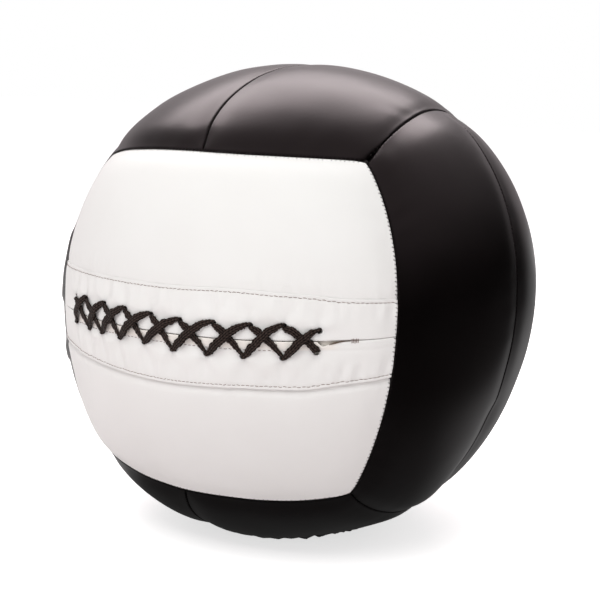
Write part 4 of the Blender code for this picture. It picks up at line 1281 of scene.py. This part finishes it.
def vinyl_grain_group():
    """Embossed grain: small pebbles with fine noise, and slow patches of handling."""
    tree, given, result = new_group("vinyl_grain", {"Pebble": 900.0, "Patch": 22.0})
    place = object_place(tree)
    fine = noise(tree, place, maths(tree, "MULTIPLY", given["Pebble"], 0.5), 3.0)
    pebbles = cells(tree, place, given["Pebble"])["Distance"]
    height = maths(tree, "MULTIPLY_ADD", pebbles, 0.6, fine)
    fill_inputs(tree, result, {"Height": height, "Patches": noise(tree, place, given["Patch"], 4.0)})
    return tree


def weave_group():
    """Plain cloth: threads over and under each other in two ways across the surface."""
    tree, given, result = new_group("cloth_weave", {"Threads": 900.0})
    place = object_place(tree)
    parts = split(tree, place)
    across = maths(tree, "ADD", parts["X"], parts["Y"])
    warp, weft = (
        maths(tree, "SINE", maths(tree, "MULTIPLY", way, given["Threads"])) for way in (across, parts["Z"])
    )
    height = maths(tree, "MULTIPLY", warp, weft)
    fill_inputs(tree, result, {"Height": height, "Patches": noise(tree, place, 60.0, 3.0)})
    return tree


def black_vinyl():
    material, tree = new_tree("black_vinyl")
    grain = use_group(tree, "grain", Pebble=1100.0, Patch=26.0)
    patches = grain["Patches"]
    colour = mix_colours(tree, patches, (0.0008, 0.0004, 0.0004, 1), (0.0016, 0.0009, 0.0009, 1))
    gloss = {"Roughness": ranged(tree, patches, 0.28, 0.36), "Specular Tint": (1.0, 0.87, 0.885, 1)}
    set_surface(tree, colour, grain["Height"], 0.2, 0.12 * MM, gloss)
    return material


def white_vinyl():
    """White vinyl, warmer in the laced band and with painted shade round the lace holes."""
    material, tree = new_tree("white_vinyl")
    grain = use_group(tree, "grain", Pebble=1100.0, Patch=18.0)
    patches = grain["Patches"]
    vinyl_tone = mix_colours(tree, patches, (0.80, 0.78, 0.765, 1), (0.84, 0.825, 0.815, 1))
    band = maths(tree, "MULTIPLY", read_mark(tree, "band"), 0.5)
    # Painted shade round the lace holes: a bluish grey mixed in by the hole mask
    hole_shade = maths(tree, "MULTIPLY", read_mark(tree, "hole_shade"), 0.28)
    colour = mix_colours(tree, band, vinyl_tone, (0.86, 0.76, 0.68, 1))
    colour = mix_colours(tree, hole_shade, colour, (0.42, 0.40, 0.42, 1))
    set_surface(tree, colour, grain["Height"], 0.25, 0.1 * MM, {"Roughness": ranged(tree, patches, 0.42, 0.54)})
    return material


def lace_cotton():
    """Dark cotton in slanting braided strands with ribs along the lace."""
    material, tree = new_tree("lace_cotton")
    run, side = read_mark(tree, "lace_run"), read_mark(tree, "lace_side")
    slant = maths(tree, "ADD", run, maths(tree, "ABSOLUTE", side))
    braid = maths(tree, "SINE", maths(tree, "MULTIPLY", slant, 2 * math.pi / BRAID_PITCH))
    rib = maths(tree, "COSINE", maths(tree, "MULTIPLY", side, 2 * math.pi / RIB_PITCH))
    fuzz = noise(tree, object_place(tree), 700.0, 3.0)
    height = maths(tree, "MULTIPLY_ADD", fuzz, 2.4, maths(tree, "MULTIPLY_ADD", braid, 0.6, rib))
    # Painted shade and highlight: the colour follows the braid's height, dark in its dips and light on its
    # raised strands
    shade = ranged(tree, height, 0.0, 1.0, 0.2, 2.9)
    colour = mix_colours(tree, shade, (0.0060, 0.0036, 0.0030, 1), (0.066, 0.043, 0.036, 1))
    cotton = {"Roughness": 0.82, "Specular IOR Level": 0.25, "Sheen Weight": 0.05, "Sheen Roughness": 0.4}
    set_surface(tree, colour, height, 0.8, 0.3 * MM, cotton)
    return material


def thread(name, dark, light, roughness):
    """Twisted sewing thread."""
    material, tree = new_tree(name)
    twist = noise(tree, object_place(tree), 1500.0, 2.0)
    colour = mix_colours(tree, twist, (*dark, 1), (*light, 1))
    set_surface(tree, colour, twist, 0.4, 0.2 * MM, {"Roughness": roughness})
    return material


def cloth(name, dark, light, threads):
    material, tree = new_tree(name)
    weave = use_group(tree, "weave", Threads=threads)
    colour = mix_colours(tree, weave["Patches"], (*dark, 1), (*light, 1))
    set_surface(tree, colour, weave["Height"], 0.5, 0.3 * MM, {"Roughness": 0.9, "Sheen Weight": 0.15})
    return material


def foam():
    """Cut foam: open pores on an even grey."""
    material, tree = new_tree("grey_foam")
    place = object_place(tree)
    colour = mix_colours(tree, noise(tree, place, 35.0, 4.0), (0.31, 0.32, 0.34, 1), (0.39, 0.40, 0.42, 1))
    pores = cells(tree, place, 620.0)["Distance"]
    set_surface(tree, colour, pores, 0.7, 0.8 * MM, {"Roughness": 0.95, "Specular IOR Level": 0.2})
    return material


def fibre():
    """Matted polyester wadding: long crossing hairs and loose clouds."""
    material, tree = new_tree("fibre_wadding")
    inputs = {0: object_place(tree), 1: (1.0, 1.0, 5.0)}
    stretched = add_node(tree, "ShaderNodeVectorMath", inputs, operation="MULTIPLY").outputs["Vector"]
    hairs = noise(tree, stretched, 260.0, 6.0, Distortion=1.5)
    colour = mix_colours(tree, hairs, (0.70, 0.69, 0.65, 1), (0.86, 0.85, 0.82, 1))
    set_surface(tree, colour, hairs, 0.8, 1.5 * MM, {"Roughness": 1.0, "Sheen Weight": 0.3})
    return material


def sand():
    """Loose grains of several browns."""
    material, tree = new_tree("dry_sand")
    grains = cells(tree, object_place(tree), 1400.0)
    hue = split(tree, grains["Color"])["X"]
    colour = mix_colours(tree, hue, (0.42, 0.33, 0.22, 1), (0.66, 0.56, 0.42, 1))
    set_surface(tree, colour, grains["Distance"], 0.8, 0.6 * MM, {"Roughness": 0.9})
    return material


groups = {"grain": vinyl_grain_group(), "weave": weave_group()}
materials = {
    "black_vinyl": black_vinyl(),
    "white_vinyl": white_vinyl(),
    "lace": lace_cotton(),
    "black_thread": thread("black_thread", (0.003, 0.002, 0.002), (0.009, 0.006, 0.006), 0.7),
    "grey_thread": thread("grey_thread", (0.17, 0.105, 0.09), (0.29, 0.20, 0.18), 0.7),
    "brown_thread": thread("brown_thread", (0.07, 0.04, 0.025), (0.20, 0.14, 0.10), 0.8),
    "liner": cloth("liner_cloth", (0.90, 0.84, 0.77), (0.95, 0.90, 0.84), 4200.0),
    "foam": foam(),
    "bag_cloth": cloth("bag_cloth", (0.58, 0.56, 0.51), (0.66, 0.64, 0.59), 3100.0),
    "fibre": fibre(),
    "pouch_cloth": cloth("pouch_cloth", (0.26, 0.24, 0.205), (0.34, 0.32, 0.275), 2400.0),
    "sand": sand(),
    "cord": thread("cord_cotton", (0.022, 0.016, 0.014), (0.05, 0.038, 0.034), 0.85),
}


# Camera, lights and floor

CAMERA_AZIMUTH_DEG, CAMERA_ELEVATION_DEG, CAMERA_ROLL_DEG = 33.0, 9.84, -2.15
CAMERA_DISTANCE = 1.05
CAMERA_LENS_MM = 84.4
BALL_CENTRE_PX = (302.2, 297.3)
IMAGE_PX = 600


def photo_camera():
    data = bpy.data.cameras.new("photo_camera")
    data.lens = CAMERA_LENS_MM
    data.sensor_width = 36
    data.shift_x = (IMAGE_PX / 2 - BALL_CENTRE_PX[0]) / IMAGE_PX
    data.shift_y = (BALL_CENTRE_PX[1] - IMAGE_PX / 2) / IMAGE_PX
    azimuth, elevation, roll = map(math.radians, (CAMERA_AZIMUTH_DEG, CAMERA_ELEVATION_DEG, CAMERA_ROLL_DEG))
    level = math.cos(elevation)
    backward = np.array((math.sin(azimuth) * level, -math.cos(azimuth) * level, math.sin(elevation)))
    rightward = unit(np.cross(UP, backward))
    upward = np.cross(backward, rightward)
    turned_right = math.cos(roll) * rightward - math.sin(roll) * upward
    turned_up = math.sin(roll) * rightward + math.cos(roll) * upward
    columns = np.column_stack([turned_right, turned_up, backward, CENTRE + CAMERA_DISTANCE * backward])
    camera = add_object("photo_camera", data)
    camera.matrix_world = Matrix([*columns.tolist(), (0, 0, 0, 1)])
    bpy.context.scene.camera = camera


def softbox(name, place, aim, size, power, colour, in_gloss=True):
    data = bpy.data.lights.new(name, "AREA")
    data.shape = "RECTANGLE"
    data.size, data.size_y = size
    data.energy = power
    data.color = colour
    lamp = add_object(name, data)
    lamp.location = place
    lamp.rotation_euler = (Vector(aim) - Vector(place)).to_track_quat("-Z", "Y").to_euler()
    lamp.visible_glossy = in_gloss


# What the gloss sees: a pale backdrop behind on the left, a dim ceiling, and a dark room elsewhere
BACKDROP_DIRECTION = (-0.65, 0.72, 0.25)
BACKDROP_LEVEL = 0.62
CEILING_LEVEL = 0.42
FILL_LEVEL = 0.49
GLOSS_TINT = (1.0, 0.905, 0.925, 1)
WHITE = (1, 1, 1, 1)
# The floor's colour, and the near-black one that glossy rays see under its painted reflection
FLOOR_MATT, FLOOR_IN_GLOSS = (0.95, 0.90, 0.905, 1), (0.03, 0.027, 0.027, 1)
FLOOR_GLOW = 0.67
FLOOR_HALF = 6


def ray_kinds(tree):
    """Masks of the rays from the camera, and of those that mirror or pass through."""
    rays = add_node(tree, "ShaderNodeLightPath").outputs
    return rays["Is Camera Ray"], maths(tree, "MAXIMUM", rays["Is Glossy Ray"], rays["Is Transmission Ray"])


def studio():
    scene = bpy.context.scene
    scene.view_settings.view_transform = "Standard"
    scene.world = bpy.data.worlds.new("studio")
    scene.world.use_nodes = True
    tree = scene.world.node_tree
    place = add_node(tree, "ShaderNodeTexCoord").outputs["Generated"]
    inputs = {0: place, 1: tuple(unit(BACKDROP_DIRECTION))}
    facing = add_node(tree, "ShaderNodeVectorMath", inputs, operation="DOT_PRODUCT").outputs["Value"]
    backdrop = eased(tree, facing, 0.5, 0.95, 0.0, BACKDROP_LEVEL)
    ceiling = eased(tree, split(tree, place)["Z"], 0.12, 0.7, 0.0, CEILING_LEVEL)
    seen, mirrored = ray_kinds(tree)
    level = mix_values(tree, mirrored, FILL_LEVEL, maths(tree, "MAXIMUM", backdrop, ceiling))
    colour = mix_colours(tree, mirrored, WHITE, GLOSS_TINT)
    strength = mix_values(tree, seen, level, 1.0)
    fill_inputs(tree, tree.nodes["Background"], {"Color": colour, "Strength": strength})
    softbox("back_softbox", (-0.51, 0.69, 1.40), (0, 0, 0.17), (1.95, 0.85), 19.5, (1.0, 0.92, 0.93))
    softbox("front_softbox", (0.28, -1.05, 1.66), (0, 0, 0.17), (1.1, 1.1), 20.8, (0.97, 1.0, 0.985), False)


def studio_floor():
    """A white floor. In the gloss it glows as a painted reflection: pale on the left and behind, dark on the
    right and under the ball, where the dark is a painted shadow.
    """
    mesh = bpy.data.meshes.new("studio_floor")
    corners = [(x * FLOOR_HALF, y * FLOOR_HALF, 0) for x, y in ((-1, -1), (1, -1), (1, 1), (-1, 1))]
    mesh.from_pydata(corners, [], [(0, 1, 2, 3)])
    floor = add_object("studio_floor", mesh)
    material, tree = new_tree("studio_floor")
    seen, mirrored = ray_kinds(tree)
    parts = split(tree, object_place(tree))
    near_back = eased(tree, parts["Y"], 0.0, 0.15, 0.07, 0.4)
    not_right = eased(tree, parts["X"], 0.2, 0.36, 1.0, 0.05)
    on_left = eased(tree, parts["X"], -0.24, -0.08, 0.9, 0.0)
    behind = maths(tree, "MULTIPLY", near_back, not_right)
    # Painted reflection: an emission that only glossy rays see, stronger behind and on the left and faint under
    # the ball
    pale = maths(tree, "MULTIPLY", mirrored, maths(tree, "MAXIMUM", behind, on_left))
    values = {
        "Base Color": mix_colours(tree, mirrored, FLOOR_MATT, FLOOR_IN_GLOSS),
        "Roughness": 0.9,
        "Specular IOR Level": 0.1,
        "Emission Color": WHITE,
        "Emission Strength": maths(tree, "MULTIPLY_ADD", seen, FLOOR_GLOW, pale),
    }
    fill_inputs(tree, tree.nodes["Principled BSDF"], values)
    mesh.materials.append(material)


photo_camera()
studio()
studio_floor()
for panel, word in PANELS:
    name = f"{FACE_NAMES[panel[0]]}_panel_{word}"
    if panel[0] == FRONT:
        front_panel(name, panel)
    else:
        black_panel(name, panel)
lacing_strip("lacing_strip_upper", 1)
lacing_strip("lacing_strip_lower", -1)
lacing_tongue()
lace()
seam_threads()
seam_knots()
topstitching()
bar_tack()
slit_edging()

for panel, word in PANELS:
    foam_pad(f"{FACE_NAMES[panel[0]]}_foam_pad_{word}", panel)
for word, half in (("upper", 1), ("lower", -1)):
    inner_bag("inner_bag_" + word, half)
    filling("filling_" + word, half)
weight_pouch()
weight_sand()
pouch_tie()
